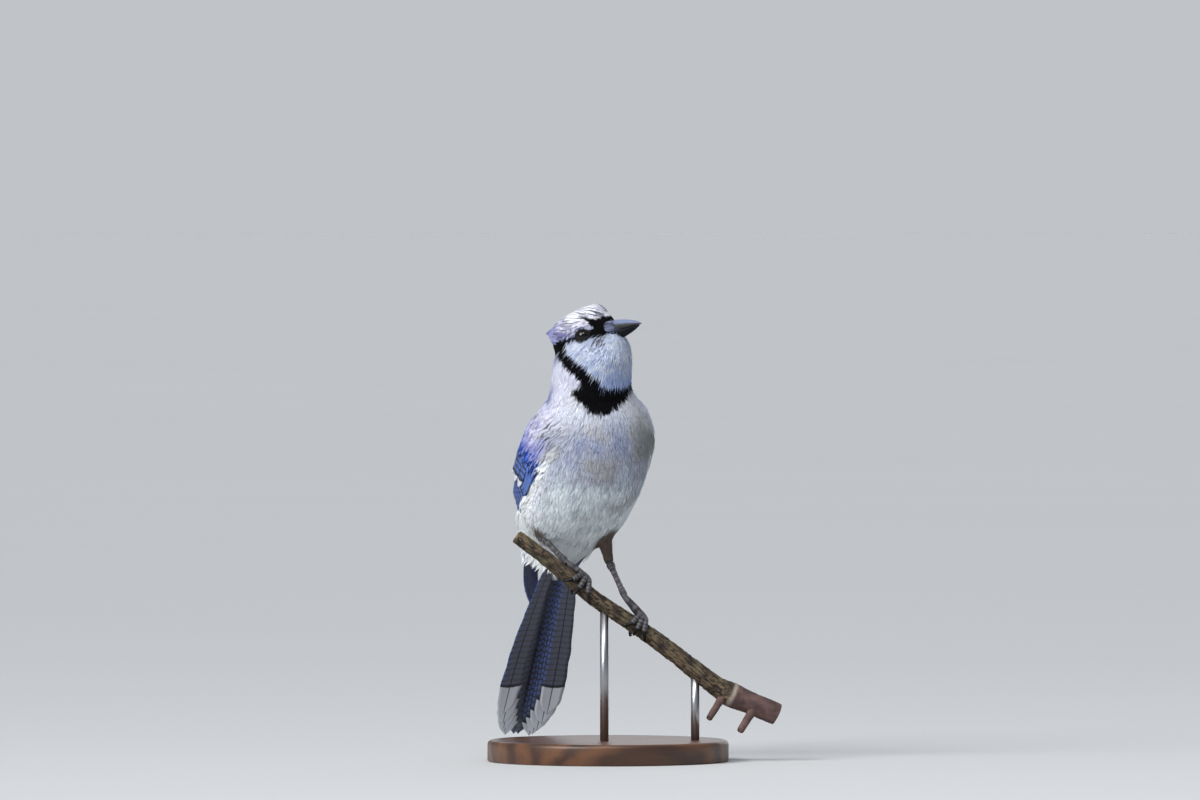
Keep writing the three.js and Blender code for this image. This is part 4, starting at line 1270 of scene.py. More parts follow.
def scatter(spacing, among):
    """Places on the skin that are among those asked for, none much nearer to another than spacing."""
    middle = skin_points[skin_triangles].mean(1)
    total = np.cumsum(np.where(among(middle), 3 * skin_areas / spacing(middle) ** 2, 0))
    count = int(total[-1])
    picks = np.searchsorted(total, rng.uniform(0, total[-1], count))
    share = rng.dirichlet((1.2, 1.2, 1.2), count)[..., None]
    corners = skin_triangles[np.minimum(picks, len(total) - 1)]
    spots = (skin_points[corners] * share).sum(1)
    tree = KDTree(count)
    for i, spot in enumerate(spots.tolist()):
        tree.insert(spot, i)
    tree.balance()
    alone = np.ones(count, bool)
    for i, (spot, room) in enumerate(zip(spots.tolist(), (0.8 * spacing(spots)).tolist())):
        if alone[i]:
            alone[[j for _, j, _ in tree.find_range(spot, room) if j != i]] = False
    corners, share = corners[alone], share[alone]
    normals = unit((skin_normals[corners] * share).sum(1))
    return spots[alone], normals, across_plane((skin_flow[corners] * share).sum(1), normals)


# Each piece of the body's coat with its material slot and the node that it dresses.
REGIONS = [("crown", "head_feathers", "head"), ("face", "head_feathers", "head"),
           ("neck", "neck_feathers", "neck"),
           ("breast_left", "body_feathers", "torso"), ("breast_right", "body_feathers", "torso"),
           ("back", "body_feathers", "torso"), ("belly_left", "body_feathers", "torso"),
           ("belly_right", "body_feathers", "torso"), ("rump", "body_feathers", "tail"),
           ("thigh_left", "leg_feathers", "thigh_left"), ("thigh_right", "leg_feathers", "thigh_right")]


def region_of(points):
    """The name of the coat piece that each place of the body belongs to."""
    t, facing = round_the_trunk(points)
    side = np.where(points[:, 0] < 0, "right", "left")
    front = np.where(points[:, 2] < 84, np.char.add("belly_", side), np.char.add("breast_", side))
    where = np.where(facing < -0.05, "back", front)
    where[t > BREAST_CUT] = "neck"
    where[t < RUMP_CUT] = "rump"
    up = in_head(points)[:, 2]
    where[up > -NECK_CUT] = "face"
    where[up > 2] = "crown"
    for leg, thigh in zip(LEGS, thighs):
        _, across, ahead = thigh.nearest(points, 40)
        where[(np.hypot(across, ahead) < 8) & (points[:, 2] < 54)] = "thigh_" + leg["half"]
    return where


wing_shapes = [piece.data for piece in bpy.data.objects if piece.name.startswith("wing_feathers")]
wing_corners = [corners_of(shape) for shape in wing_shapes]
wing_tree = BVHTree.FromPolygons(
    np.vstack([points * 1000 - np.array(ORIGIN) for points, _ in wing_corners]).tolist(),
    np.vstack([wing_corners[0][1], wing_corners[1][1] + len(wing_corners[0][0])]).tolist())

HEAD_REACH = 32  # from the bill's base: nearer than this the tufts are the small ones of the head
# Each style's last entry is painted shade: the share of a tuft's colour at its root, middle and tip.
FINE = {"barbs": 3, "rows": 4, "thick": 0.12, "blade": 0.4, "fray": 0.18, "yaw": 0.07, "contrast": 0.09,
        "wide": 0.12, "painted_root_shade": (0.88, 0.98, 1.02)}
LONG = {"barbs": 5, "rows": 4, "thick": 0.15, "blade": 0.46, "fray": 0.22, "yaw": 0.09, "contrast": 0.05,
        "wide": 0.16, "painted_root_shade": (0.92, 0.99, 1.02)}
PLUME = {"barbs": 7, "rows": 5, "thick": 0.17, "blade": 0.34, "fray": 0.14, "contrast": 0.11,
         "painted_root_shade": (0.82, 0.96, 1.04)}
coat = {name: [] for name, _, _ in REGIONS}


def off_the_eye(points):
    return from_eye(points) > 3.6


def off_the_bill(points):
    head = in_head(points)
    return ~((head[:, 1] < -14.5) & (np.hypot(head[:, 0], head[:, 2] - 2.6) < 4.4))


def lay_body_coat(style, spacing, among):
    """Tufts over the skin that is among what is asked for, but none where they would cut into a wing."""
    spots, normals, flow = scatter(spacing, among)
    long = tuft_length(spots) * rng.uniform(0.85, 1.15, len(spots))
    ends, end_normals = skin_below(spots + flow * long[:, None])
    high_here, high_there = covered(spots, normals), covered(ends, end_normals)
    in_the_open = high_here < 0.5
    keep = high_there < np.where(in_the_open, 4.5, 0.5)
    over = np.where(in_the_open, high_there, 0)[keep]
    spots, normals, flow, long = spots[keep], normals[keep], flow[keep], long[keep]
    lift = np.interp(from_bill(spots), [0, 20, 40, 60], [0.3, 0.5, 0.8, 1.0]) + over * 0.95
    head = in_head(spots)
    beard = smooth(-1, -7, head[:, 2]) * smooth(4, -4, head[:, 1]) * smooth(126, 134, spots[:, 2])
    long, lift = long * (1 + 0.45 * beard), lift + 1.1 * beard
    colours = marking(spots + flow * (0.72 * long)[:, None] + rng.normal(0, 0.25, spots.shape))
    wide, where = 0.2 + style["wide"] * long, region_of(spots)
    for name in coat:
        mine = where == name
        if mine.any():
            stops, ups = along_the_skin(spots[mine], normals[mine], flow[mine], long[mine], style["yaw"])
            coat[name].append(lay_tufts(stops, ups, wide[mine], lift[mine], colours[mine], style))


lay_body_coat(FINE, lambda p: 0.38 + 0.09 * tuft_length(p),
              lambda p: (from_bill(p) < HEAD_REACH) & off_the_eye(p) & off_the_bill(p))
lay_body_coat(LONG, lambda p: 0.4 + 0.1 * tuft_length(p), lambda p: from_bill(p) >= HEAD_REACH)

# The laid crest's smooth cover: distances back, and there half its width, its height and the level of both.
CREST_BACK = [-20, -17, -12, -6, 0, 7, 14, 18, 23]
CREST_COVER = [(5.2, 8.0, 11.0, 13.6, 15.4, 14.4, 10.2, 5.6, 0.8),
               (9.1, 13.5, 16.1, 17.2, 16.7, 15.3, 10.4, 5.0, 0.6),
               (4.2, 2.3, 1.5, 0.9, 0.7, 0.9, 3.4, 6.9, 10.4)]
CREST_STEP = 1.9  # between its rows, and between the feathers of a row


def crest_cover(x_turn, y):
    """A place on the laid crest's cover, at an angle to the side and a distance back, and the way out."""
    wide, high, middle = (np.interp(y, CREST_BACK, row) for row in CREST_COVER)
    out = head_along(np.sin(x_turn) / wide, 0.02, np.cos(x_turn) / high)
    return on_head(np.sin(x_turn) * wide, y, middle + np.cos(x_turn) * high), out


def crest_row(row, y):
    """A row of narrow feathers that lie back over the crown from a distance back."""
    reach = np.radians(np.interp(y, [-18, -10, -4, 4, 12], [44, 46, 62, 80, 92]))
    count = int(2 * reach * np.interp(y, [-18, -6, 8, 12], [9, 15.5, 15.5, 13]) / CREST_STEP)
    turn = (np.arange(count) + 0.5 * (row % 2)) / count * 2 * reach - reach + rng.normal(0, 0.02, count)
    long = np.interp(y, [-18, -10, 0, 12], [4, 6, 9.5, 11]) * rng.uniform(0.9, 1.04, count)
    long = long - np.interp(y, [0, 12], [0, 7]) * (np.abs(turn) / reach) ** 2
    start = y + rng.normal(0, 0.4, count)
    found = [crest_cover(turn * (1 - 0.1 * q), start + long * q) for q in (0, 0.5, 1)]
    stops = [at + out * rise for (at, out), rise in zip(found, (-0.9, 0.3, 0.5))]
    tone_at = in_head(lerp(stops[1], stops[2], 0.2))
    tone_at[:, 1] = np.minimum(tone_at[:, 1], 12.2)
    tone = marking(on_head(*tone_at.T)) * np.where(rng.uniform(0, 1, count) < 0.2, 0.62, 1.08)[:, None]
    tone = lerp(tone, CREST_TIP, (smooth(16, 23, start + long) * 0.8)[:, None])
    lift = np.full(count, 0.25 + 0.8 * smooth(-14, -18, y))
    return lay_tufts(stops, [out for _, out in found], 0.42 + 0.075 * long, lift, tone, PLUME)


for row, y in enumerate(np.arange(-18.5, 12.1, CREST_STEP)):
    coat["crown"].append(crest_row(row, y))

for name, slot, node in REGIONS:
    show_tufts("coat_" + name, coat[name], slot, node)


# Soft feathers over the wrist and the front edge of each wing

SHOULDER, SHOULDER_DEEP, FLANK = linear(214, 213, 234), linear(160, 161, 208), linear(246, 251, 252)
COVERT_BLUE, COVERT_DEEP, COVERT_PALE = linear(72, 110, 206), linear(24, 36, 92), linear(158, 174, 228)
VIOLET_BLUE = linear(124, 128, 202)
# How far forward the blue of a wing shows at each distance along it: the flank's feathers cover the rest.
WING_FRONT = [(-8, -4, 3, 7, 14, 25, 36, 47, 54, 62, 76),
              (-11.5, -11, -12, -18, -20.5, -21.5, -20, -17, -14, -9, -3)]
WING_S, WING_X = np.arange(-16, 94, 2.0), np.arange(-32, 18, 1.5)


def fair_cover(sheet):
    """How high a smooth cover lies, from the body up over a wing's front edge, at WING_S and WING_X."""
    s, x = np.meshgrid(WING_S, WING_X, indexing="ij")
    high, low = sheet(s, x, 26).reshape(-1, 3), sheet(s, x, -20).reshape(-1, 3)
    reach = np.full(len(high), -20.0)
    for tree, coat_over in ((skin_tree, COAT_DEPTH), (wing_tree, 0.2)):
        for i, (start, way) in enumerate(zip(high.tolist(), unit(low - high).tolist())):
            hit = tree.ray_cast(Vector(start), Vector(way), 46)
            if hit[0] is not None:
                reach[i] = max(reach[i], 26 - hit[3] + coat_over)
    reach = reach.reshape(s.shape)
    cover = reach.copy()
    for _ in range(30):
        near = cover.copy()
        near[:, 1:-1] = (cover[:, :-2] + cover[:, 2:]) / 2
        near[1:-1] = 0.6 * near[1:-1] + 0.2 * (cover[:-2] + cover[2:])
        cover = np.maximum(reach, near)
    return cover


def rows_of(s_range, x_range, s_step, x_step):
    """Rows of places along and across a wing, each a little off its place."""
    s, x = (v.ravel() for v in np.meshgrid(np.arange(*s_range, s_step), np.arange(*x_range, x_step)))
    return s + rng.normal(0, 0.3 * s_step, len(s)), x + rng.normal(0, 0.3 * x_step, len(x))


class WingCover:
    """The smooth cover over a folded wing's front edge. Its places are given along and across the wing."""

    def __init__(self, sign, least):
        self.sheet, self.sign, self.least = wing_sheet(sign), sign, least
        self.high = fair_cover(self.sheet)

    def front(self, s):
        """How far forward the blue of the wing shows."""
        return np.maximum(np.interp(s, *WING_FRONT), self.least)

    def place(self, s, x, rise=0.0):
        """A place on the cover, or a rise over it."""
        i, j = (np.clip((v - grid[0]) / (grid[1] - grid[0]), 0, len(grid) - 1.001)
                for v, grid in ((s, WING_S), (x, WING_X)))
        a, b = i.astype(int), j.astype(int)
        i, j = i - a, j - b
        here = self.high[a, b] * (1 - i) + self.high[a + 1, b] * i
        beyond = self.high[a, b + 1] * (1 - i) + self.high[a + 1, b + 1] * i
        return self.sheet(s, x, here * (1 - j) + beyond * j + rise)

    def tufts(self, s, x, long, over, wide, lift, tones, style):
        """Tufts that reach long on and over across. tones gives their colours from their middles' places."""
        sunk = 1.2 * smooth(-17, -22, x)
        stops, ups = [], []
        for q, rise in ((0, -1.0), (0.5, 0.1), (1, 0.2)):
            at_s, at_x = s + long * q, x + over * q
            stops.append(self.place(at_s, at_x, rise - sunk))
            tilt = self.place(at_s, at_x + 2) - self.place(at_s, at_x - 2)
            along = self.place(at_s + 2, at_x) - self.place(at_s - 2, at_x)
            ups.append(unit(np.cross(along, tilt) * self.sign))
        return lay_tufts(stops, ups, wide, lift, tones(stops[1]), style)

    def vane(self, root, tip, wide, rise, shape, dress):
        """A vane from root to tip, lifted by rise at its tip."""
        (s0, x0), (s1, x1) = root, tip
        lean = np.arctan2(x1 - x0, s1 - s0)

        def place(q, x, h):
            at_s = s0 + (s1 - s0) * q - x * np.sin(lean)
            at_x = x0 + (x1 - x0) * q + x * np.cos(lean)
            return self.place(at_s, at_x, (0.9 + rise) * q ** 0.6 - 0.9 - 0.08 * x + h)
        return vane(place, s1 - s0, wide, shape, np.array(dress), 16)


def flank_feathers(wing):
    """The body's own feathers, white and long on the flank."""
    s, x = rows_of((-8, 86), (-27, 4), 1.7, 1.6)
    long = np.interp(s, [-6, 30, 60], [6.5, 9, 12]) * rng.uniform(0.85, 1.15, len(s))
    over = np.interp(s, [-6, 30, 60], [0.3, 1.5, 3.5]) * rng.uniform(0.5, 1.3, len(s))
    keep = (x + over < wing.front(s + 0.8 * long) + rng.normal(0.3, 0.9, len(s))) & (x > -25)
    s, x, long, over = s[keep], x[keep], long[keep], over[keep]
    lift = 0.5 + 0.5 * (x + over > wing.front(s + long) - 2)
    return wing.tufts(s, x, long, over, 0.4 + 0.14 * long, lift,
                      lambda at: lerp(marking(at), FLANK, (smooth(100, 84, at[:, 2]) * 0.9)[:, None]), LONG)


def small_coverts(wing):
    """Small lavender coverts, which turn violet and blue behind the wrist."""
    s, x = rows_of((-8, 12), (-20, 16), 1.25, 1.15)
    keep = x > wing.front(s) - 0.5
    s, x = s[keep], x[keep]
    long = rng.uniform(5.5, 8, len(s))

    def tones(at):
        deep = smooth(-0.2, 0.9, roughly(np.stack([s * 0.6, x, 0 * s], -1), 3.0))
        tone = lerp(SHOULDER, SHOULDER_DEEP, deep[:, None])
        tone = lerp(tone, VIOLET_BLUE, (smooth(2, 9, s + rng.normal(0, 2, len(s))) * 0.8)[:, None])
        tone = lerp(tone, COVERT_BLUE, smooth(9, 14, s + rng.normal(0, 2, len(s)))[:, None])
        ours = smooth(-0.5, 2.5, x - wing.front(s) + rng.normal(0, 0.8, len(x))) * smooth(14, 3, x)
        return lerp(marking(at), tone, ours[:, None])

    return wing.tufts(s, x, long, 0.04 * x, 0.9 + 0.05 * long, np.full(len(s), 0.6), tones, LONG)


def streaked_coverts(wing):
    """Narrow streaked blue coverts."""
    s, x = rows_of((9, 24), (-22, 8), 1.8, 1.15)
    keep = x > wing.front(s) + 0.4
    s, x = s[keep], x[keep]
    long = rng.uniform(7.5, 10.5, len(s))
    tone = lerp(COVERT_DEEP, COVERT_BLUE, rng.uniform(0, 1, len(s))[:, None] ** 1.5)
    tone = lerp(tone, COVERT_PALE, (rng.uniform(0, 1, len(s)) > 0.82)[:, None] * 0.8)
    return wing.tufts(s, x, long, 0.05 * x, 0.4 + 0.05 * long, np.full(len(s), 0.5), lambda at: tone, PLUME)


def edge_vanes(wing):
    """The quills of the wing's front edge, coverts over their roots, and coverts tipped with white above."""
    made = []
    for k in range(6):
        root, tip = (14 + k, wing.front(20) + 2.6 + 2.1 * k), (62 - 2 * k, wing.front(50) + 1.8 + 1.8 * k)
        made.append(wing.vane(root, tip, 2.5, 0.1 + 0.1 * k, FLIGHT_SHAPE, (1, 0, 0, k * 0.13)))
    for k in range(4):
        root = (11 + 0.6 * k, wing.front(14) + 2.4 + 2.4 * k)
        tip = (41 - 1.5 * k, wing.front(36) + 2.2 + 2.5 * k)
        made.append(wing.vane(root, tip, 2.6, 0.9 + 0.12 * k, COVERT_SHAPE, (0.12, 0, 0.42, 0.2 + k * 0.17)))
    for k in range(5):
        x = -12.5 + 3.7 * k
        dress = (0.9, 0.5, 0.25, k * 0.21)
        made.append(wing.vane((16, x), (39 - 0.4 * k, x * 1.1), 2.5, 2.2, COVERT_SHAPE, dress))
    return made


for half, sign, least in (("left", 1, -11.5), ("right", -1, -30)):
    wing = WingCover(sign, least)
    soft = [flank_feathers(wing), small_coverts(wing), streaked_coverts(wing)]
    show_tufts("coat_shoulder_" + half, soft, "body_feathers", "wing_" + half)
    show_vanes("wing_edge_" + half, edge_vanes(wing), "flight_feathers", "wing_" + half)


# Bill, eyes and bristles

MOUTH_LEVEL, MOUTH_GAP = -0.6, 0.1
MOUTH_UP, MOUTH_AT = head_along(0, -0.03, 1), on_head(0, -BILL["base"], MOUTH_LEVEL)
HORN = horn_finish("bill_horn", linear(9, 10, 14), linear(22, 25, 33), 0.3)
EYE_SKIN, LID = eye_finish(), lid_finish()


def mandible(top, bottom, shorter):
    """One straight-edged horn that arches away from the line of the mouth."""
    q = np.array([0, 0.25, 0.5, 0.75, 0.92, 1])
    arch = np.array([0.9, 1, 0.88, 0.6, 0.3, 0])
    wide = BILL["wide"] * (1 - 0.86 * q ** 1.25) * (arch > 0)
    ahead = BILL["base"] + 0.4 + q * (BILL["tip"] - shorter - BILL["base"])
    places = np.vstack([MOUTH_AT, on_head(0, -ahead, MOUTH_LEVEL - 0.8 * q)])
    reach = np.vstack([(0, 0, 0), np.stack([wide, bottom * arch, top * arch], -1)])
    return Tube(places, reach, HEAD_SIDE)


def show_mandible(name, shape, keep):
    """Half of the bill, cut at the mouth: keep is 1 for the upper half and -1 for the lower."""
    made = shape.body(56, 48)[0]
    keep_past(made, MOUTH_AT + MOUTH_UP * keep * MOUTH_GAP, MOUTH_UP * keep)
    bmesh.ops.recalc_face_normals(made, faces=made.faces)
    mesh = to_mesh(made)
    places = in_head(spots_of(mesh.vertices))
    ahead = -places[:, 1]
    top = np.interp(ahead, [BILL["base"], 19, 25, 31, 35.5, 37.8], [0.9, 1, 0.88, 0.6, 0.3, 0.08])
    # A painted highlight: pale along the top of the upper mandible, where light from above falls, and a pale
    # line along its cutting edge near the gape.
    rise = (places[:, 2] - MOUTH_LEVEL + 0.03 * (ahead - BILL["base"])) / (BILL["upper"] * top)
    edge = smooth(0.17, 0.07, rise) * smooth(27, 20, ahead) * (rise > 0)
    add_field(mesh, "painted_highlight_and_edge", "FLOAT", np.maximum(smooth(0.46, 0.84, rise), 0.7 * edge))
    show(name, mesh, HORN, "bill", name)


def show_eyeball(half, middle, out, facing_out):
    """A ball whose ring attribute grows from the pupil's middle to the rim."""
    ball = bmesh.new()
    bmesh.ops.create_uvsphere(ball, u_segments=48, v_segments=32, radius=EYE["radius"])
    mesh = to_mesh(ball)
    mesh.transform(Matrix.Translation(middle) @ facing_out)
    away = np.clip(unit(spots_of(mesh.vertices) - middle) @ out, -1, 1)
    add_field(mesh, "ring", "FLOAT", np.arccos(away) / (np.pi / 2))
    show("eyeball_" + half, mesh, EYE_SKIN, "eye", "eye_" + half)


def show_lid(half, middle, out, facing_out):
    """A flattened ring round the eye that droops a little. Its ring attribute grows downwards."""
    ring = bmesh.new()
    section = Matrix.Translation((3.85, 0, 0)) @ Matrix.Rotation(np.pi / 2, 4, "X")
    bmesh.ops.create_circle(ring, segments=16, radius=0.66, matrix=section)
    bmesh.ops.spin(ring, geom=ring.verts[:] + ring.edges[:], axis=(0, 0, 1), cent=(0, 0, 0), angle=2 * np.pi,
                   steps=64, use_merge=True)
    bmesh.ops.recalc_face_normals(ring, faces=ring.faces)
    mesh = to_mesh(ring)
    mesh.transform(Matrix.Translation(middle + out * 2.3) @ facing_out @ Matrix.Diagonal((1, 1, 0.6, 1)))
    points = spots_of(mesh.vertices)
    over = (points - middle) @ HEAD_UP
    add_field(mesh, "ring", "FLOAT", 0.5 - over / 7)
    mesh.vertices.foreach_set("co", (points - 0.15 * over[:, None] * HEAD_UP).astype(np.float32).ravel())
    show("lid_" + half, mesh, LID, "head_feathers", "head")


show_mandible("bill_upper", mandible(BILL["upper"], 1, 0), 1)
show_mandible("bill_lower", mandible(1, BILL["lower"], BILL["shorter"]), -1)
for half, sign in (("left", 1), ("right", -1)):
    middle, out = on_head(sign * EYE["x"], EYE["y"], EYE["z"]), head_along(sign, -0.36, 0.02)
    facing_out = Vector(out).to_track_quat("Z", "Y").to_matrix().to_4x4()
    show_eyeball(half, middle, out, facing_out)
    show_lid(half, middle, out, facing_out)


def bristles(roots, tips, ups, thick, colours, rise):
    """Single stiff barbs from root to tip, bowed a little outwards."""
    q = np.linspace(0, 1, 5)
    ahead = np.repeat(unit(tips - roots)[:, None], 5, 1)
    up = across_plane(np.repeat(ups[:, None], 5, 1), ahead)
    spine = lerp(roots[:, None], tips[:, None], q[:, None]) + up * (rise * 4 * q * (1 - q))[:, None]
    half = np.broadcast_to(thick * np.interp(q, [0, 0.6, 1], [1, 0.75, 0]), spine.shape[:2])
    dyed = colours[:, None] * np.interp(q, [0, 1], [0.75, 1.15])[:, None]
    return sweep_barbs(spine, np.cross(up, ahead), up, half, half, dyed, unwrapped(roots), 0.5)


def nasal_tuft(sign, n=380):
    """Stiff feathers that lie forward over one nostril: blue grey above, with pale mottles that are partly a
    painted highlight, and black below.
    """
    turn, fan = rng.uniform(-0.6, 1.5, n), rng.uniform(0, 1, n)
    roots = on_head(sign * (6.7 * np.cos(turn) + 0.2), -13 - 4.4 * fan, 0.6 + 7.2 * np.sin(turn))
    reach = np.interp(turn, [-0.6, 0.6, 1.5], [23.4, 24.2, 22.6]) - rng.uniform(0, 3.4, n)
    slim = np.interp(reach, [18, 24.5], [1, 0.72])
    tips = on_head(sign * (5.5 * slim * np.cos(turn) + 0.1), -reach, 0.2 + 6.6 * slim * np.sin(turn))
    ups = head_along(sign * np.cos(turn), np.full(n, -0.1), np.sin(turn))
    pale = smooth(0.25, 0.9, rng.uniform(0, 1, n) + 0.25 * np.sin(turn * 9))
    # Partly painted highlight: the tuft's own pale mottles are kept to its upper side, where light from above
    # falls.
    blue = lerp(linear(52, 57, 78), linear(158, 165, 198), (pale * smooth(-0.5, 0.3, turn))[:, None])
    blue = lerp(blue, linear(14, 15, 21), smooth(-0.2, -0.55, turn + rng.normal(0, 0.12, n))[:, None])
    return bristles(roots, tips, ups, 0.14, blue, 0.6)


def whiskers(sign, n=46):
    """Dark bristles at one corner of the mouth."""
    roots = on_head(sign * rng.uniform(8.0, 11.5, n), rng.uniform(-19, -12.0, n), rng.uniform(-6, -1.5, n))
    roots = skin_below(roots)[0]
    way = head_along(sign * rng.uniform(0.1, 0.5, n), rng.uniform(0.2, 0.8, n), rng.uniform(-1.3, -0.8, n))
    sides = np.tile(head_along(sign, -0.2, 0), (n, 1))
    tips = skin_below(roots + way * rng.uniform(3, 11, n)[:, None])[0] + sides * 0.9
    return bristles(roots, tips, sides, 0.11, np.tile(linear(20, 21, 30), (n, 1)), 0.7)


def face_hairs():
    """Hair-like feather tips that stand out from the pale face."""
    spots, normals, flow = scatter(
        lambda p: 1.0 + 0.02 * from_bill(p),
        lambda p: (from_bill(p) < 34) & off_the_eye(p) & off_the_bill(p) & (in_head(p)[:, 2] < 1))
    tone = marking(spots + flow * 3)
    pick = (tone.mean(1) > 0.12) & (spots[:, 2] > 127) & (in_head(spots)[:, 1] < 6.5)
    spots, normals, flow, tone = spots[pick], normals[pick], flow[pick], tone[pick]
    long = tuft_length(spots) * rng.uniform(1.1, 1.6, len(spots))
    tips, out = skin_below(spots + flow * long[:, None])
    tone = tone * rng.choice([0.7, 1.12, 1.2], len(spots))[:, None]
    tips = tips + out * rng.uniform(0.9, 1.7, (len(spots), 1))
    return bristles(spots + normals * 0.3, tips, normals, 0.1, tone, 0.3)


face_tufts = [make(sign) for sign in (1, -1) for make in (nasal_tuft, whiskers)]
show_tufts("bristles", [*face_tufts, face_hairs()], "head_feathers", "head")


# Branch

TOWARDS_FRONT = np.array([0, -1.0, 0])
# Places along the branch with its radius, and the stubs of its twigs: root, end and radius.
BRANCH = [(-42.4, 8.3, 47.5, 0), (-42, 8.2, 47.2, 3.7), (-30, 5, 38, 4), (-16, 1.2, 26.4, 4.3),
          (0, -3.1, 12.6, 4.4), (13, -6.6, 3.6, 4.5), (26, -10.1, -5.2, 4.7), (40, -14, -15.6, 4.9),
          (54, -17.8, -26.8, 5.2), (68, -21.5, -37.8, 5.7), (76, -23.8, -42.5, 7), (85, -26.2, -46.5, 6.3),
          (101, -30.5, -53.6, 6.1), (101.4, -30.6, -53.8, 0)]
branch = limb([row[:3] for row in BRANCH], [row[3] for row in BRANCH], TOWARDS_FRONT)
TWIGS = [((73, -22, -41), (58, -33, -55), 2.1), ((90, -27, -48), (75, -38, -62), 2.3)]
KNOT = 0.765  # share of the branch's line at the knot, past which the bark is smoother


def bark_relief(shape, smooth_from):
    """The rise of the bark at each place of a tube, and its marks: crack, smoothness and cut wood."""
    marks = {}

    def relief(t, angle):
        spots = shape.point(t, angle)
        _, side, front = shape.frame(t)
        out = spots - shape.at(t)
        local = np.stack([t * 30, (out * side).sum(-1) / 2.6, (out * front).sum(-1) / 2.6], -1)
        crack, rough = np.empty(len(t)), np.empty(len(t))
        for i, (p, spot) in enumerate(zip(local.tolist(), spots.tolist())):
            wander = noise.noise(Vector(p) * 1.3) * 0.35
            near = noise.voronoi(Vector(p) + Vector((wander, wander, -wander)))[0]
            crack[i] = near[1] - near[0]
            rough[i] = noise.fractal(Vector(spot) / 1.6, 0.9, 2.1, 4)
        crack = smooth(0.16, 0.02, crack)
        calm = smooth(smooth_from - 0.015, smooth_from + 0.02, t)
        cut = (t < 0.012) | (t > 0.988)
        marks["bark"] = np.stack([crack * (1 - 0.75 * calm), calm, cut, np.ones(len(t))], -1)
        flat = smooth(0.06, 0.1, t) * smooth(0.94, 0.9, t)
        return (0.28 * rough * (1 - 0.5 * calm) - 0.6 * crack * (1 - 0.8 * calm)) * flat
    return relief, marks


def twig_stub(start, end, radius):
    """What is left of a side twig, from inside the branch to its broken end."""
    radii = [0, radius * 1.3, radius, radius * 0.85, 0]
    return limb([lerp(start, end, q) for q in (-0.02, 0, 0.5, 1, 1.01)], radii, TOWARDS_FRONT)


shapes, bark_marks = [], []
wooden = [(branch, 260, 80, KNOT), *((twig_stub(*twig), 40, 28, 0.0) for twig in TWIGS)]
for shape, rows, around, smooth_from in wooden:
    relief, marks = bark_relief(shape, smooth_from)
    shapes.append(shape.body(rows, around, relief)[0])
    bark_marks.append(marks["bark"])
perch = to_mesh(joined(shapes))
add_field(perch, "bark", "FLOAT_COLOR", np.vstack(bark_marks))
show("perch", perch, bark_finish(), "bark", "perch_branch")


# Legs and feet

TOE_THICK = 1.55
TOE_RADII = np.array([1.05, 1, 0.9, 0.68, 0.5, 0]) * TOE_THICK
TOE_LIFT = np.array([0.5, 0.5, 0.5, 0.5, 0.7, 1])
# Each toe's degrees round the branch from root to claw tip, and how far it slides along the branch.
TOES = [([128, 172, 205, 228, 250, 268], 0.004), ([72, 30, -2, -24, -46, -66], -0.02),
        ([74, 28, -12, -34, -58, -80], 0.006), ([76, 34, -4, -26, -48, -68], 0.03)]
SHANK_SCALES, TOE_SCALES = 13, 17
CLAW_ROOT = 0.6
LEG_SCALES = scale_finish("leg_scales", linear(38, 37, 42), linear(70, 67, 72), linear(132, 128, 130))
CLAW_HORN = horn_finish("claw_horn", linear(14, 13, 15), linear(44, 42, 44), 0.24)


def scutes(count, depth, low=0.0, high=1.0):
    """Overlapping plates along a limb: each rises towards its lower edge and drops there."""
    def relief(t, angle):
        phase = (t * count) % 1
        ends = smooth(low, low + 0.04, t) * smooth(high, high - 0.04, t)
        return depth * (smooth(0, 0.8, phase) * smooth(1, 0.86, phase) - 0.3) * ends
    return relief


def cut_at(shape, t, keep, rows, around, relief=0.0):
    """A tube's part before (keep -1) or past (keep 1) a share of its line, closed by a flat end."""
    made = shape.body(rows, around, relief)[0]
    along = shape.frame(np.array([t]))[0][0] * keep
    keep_past(made, shape.at(t), along)
    return made


def toes_of(leg):
    """The four toes of a foot, each a tube from inside the foot to the claw's tip."""
    toes = []
    for angles, slide in TOES:
        steps = np.arange(1, 7) / 4
        spots = branch.point(leg["perch"] + slide * steps, np.radians(angles), TOE_RADII + TOE_LIFT)
        toes.append(limb([lerp(leg["foot"], spots[0], -0.15), leg["foot"], *spots],
                         [0, 1.1 * TOE_THICK, *TOE_RADII]))
    return toes


def raised_edges(points, limbs):
    """How much each point is on the worn lower edge of a scale, of the limb that it is nearest to."""
    best, raised = np.full(len(points), 1e9), np.zeros(len(points))
    for shape, count in limbs:
        t, across, ahead = shape.nearest(points, 200)
        near = np.hypot(across, ahead)
        phase = (t * count) % 1
        raised = np.where(near < best, smooth(0.55, 0.8, phase) * smooth(1, 0.9, phase), raised)
        best = np.minimum(best, near)
    return raised


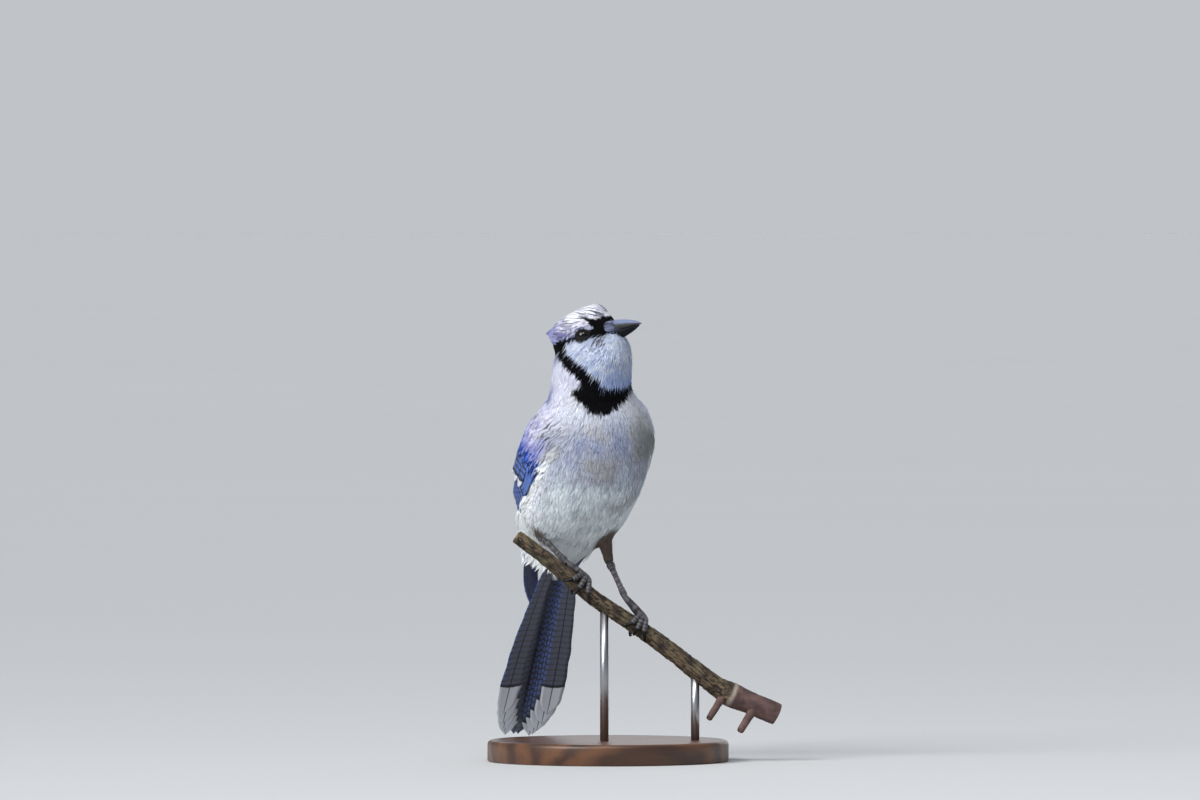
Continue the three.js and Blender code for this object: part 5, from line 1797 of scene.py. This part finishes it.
def show_leg(half, shank, toes):
    """The scaly shank and toes in one piece, and the claws in another."""
    claws = joined([cut_at(toe, CLAW_ROOT, 1, 80, 20) for toe in toes])
    bmesh.ops.recalc_face_normals(claws, faces=claws.faces)
    show("claws_" + half, to_mesh(claws), CLAW_HORN, "claw", *(f"claw_{half}_{k}" for k in range(1, 5)))
    scaly = [shank.body(150, 24, scutes(SHANK_SCALES, 0.17, 0.1, 0.9))[0]]
    scaly += [cut_at(toe, CLAW_ROOT + 0.02, -1, 120, 20, scutes(TOE_SCALES, 0.16, 0.2, 0.9)) for toe in toes]
    mesh = to_mesh(fused(scaly, 0.26, 2, 0.4))
    limbs = [(shank, SHANK_SCALES), *((toe, TOE_SCALES) for toe in toes)]
    add_field(mesh, "raised", "FLOAT", raised_edges(spots_of(mesh.vertices), limbs))
    show("leg_" + half, mesh, LEG_SCALES, "leg_scales", "tarsus_" + half, "foot_" + half)


for leg, shank in zip(LEGS, shanks):
    show_leg(leg["half"], shank, toes_of(leg))


# Stand

def turned_piece(profile, x, y, steps):
    """A solid of revolution about an upright line, from a profile of radii and heights that ends on it."""
    made = bmesh.new()
    spots = [made.verts.new((r, 0, z)) for r, z in profile]
    rim = [made.edges.new(pair) for pair in zip(spots, spots[1:])]
    bmesh.ops.spin(made, geom=spots + rim, axis=(0, 0, 1), cent=(0, 0, 0), angle=2 * np.pi, steps=steps,
                   use_merge=True)
    bmesh.ops.remove_doubles(made, verts=made.verts, dist=1e-4)
    bmesh.ops.recalc_face_normals(made, faces=made.faces)
    bmesh.ops.translate(made, verts=made.verts, vec=(x, y, 0))
    return to_mesh(made)


FLOOR_LEVEL = -PERCH_LEVEL
BASE_TOP = FLOOR_LEVEL + BASE["height"]
ROUND, CHAMFER, DISH = 2.5, 0.8, 6  # the base's rounded upper edge, its lower edge and the flat top's border
ROD_RADIUS, ROD_SUNK = 2.4, 0.5
arc = np.linspace(0, np.pi / 2, 9)
rim = [(BASE["radius"] - ROUND + ROUND * np.cos(a), BASE_TOP - ROUND + ROUND * np.sin(a)) for a in arc]
profile = [(0, FLOOR_LEVEL), (BASE["radius"] - CHAMFER, FLOOR_LEVEL), (BASE["radius"], FLOOR_LEVEL + CHAMFER),
           *rim, (BASE["radius"] - DISH, BASE_TOP), (0, BASE_TOP)]
show("base", turned_piece(profile, BASE["x"], BASE["y"], 160), wood_finish(), "dark_wood", "stand_base")
STEEL = steel_finish()
for place, t in (("middle", 0.343), ("end", 0.626)):
    x, y, z = branch.at(np.array(t))
    low, high = BASE_TOP - ROD_SUNK, z - 1
    profile = [(0, low), (ROD_RADIUS, low), (ROD_RADIUS, high), (0, high)]
    show("rod_" + place, turned_piece(profile, x, y, 48), STEEL, "steel", "stand_rod_" + place)


# Floor

floor = bmesh.new()
bmesh.ops.create_circle(floor, cap_ends=True, segments=128, radius=60)
floor_mesh = to_mesh(floor)
floor_mesh.materials.append(floor_finish())
floor = bpy.data.objects.new("floor", floor_mesh)
bpy.context.scene.collection.objects.link(floor)
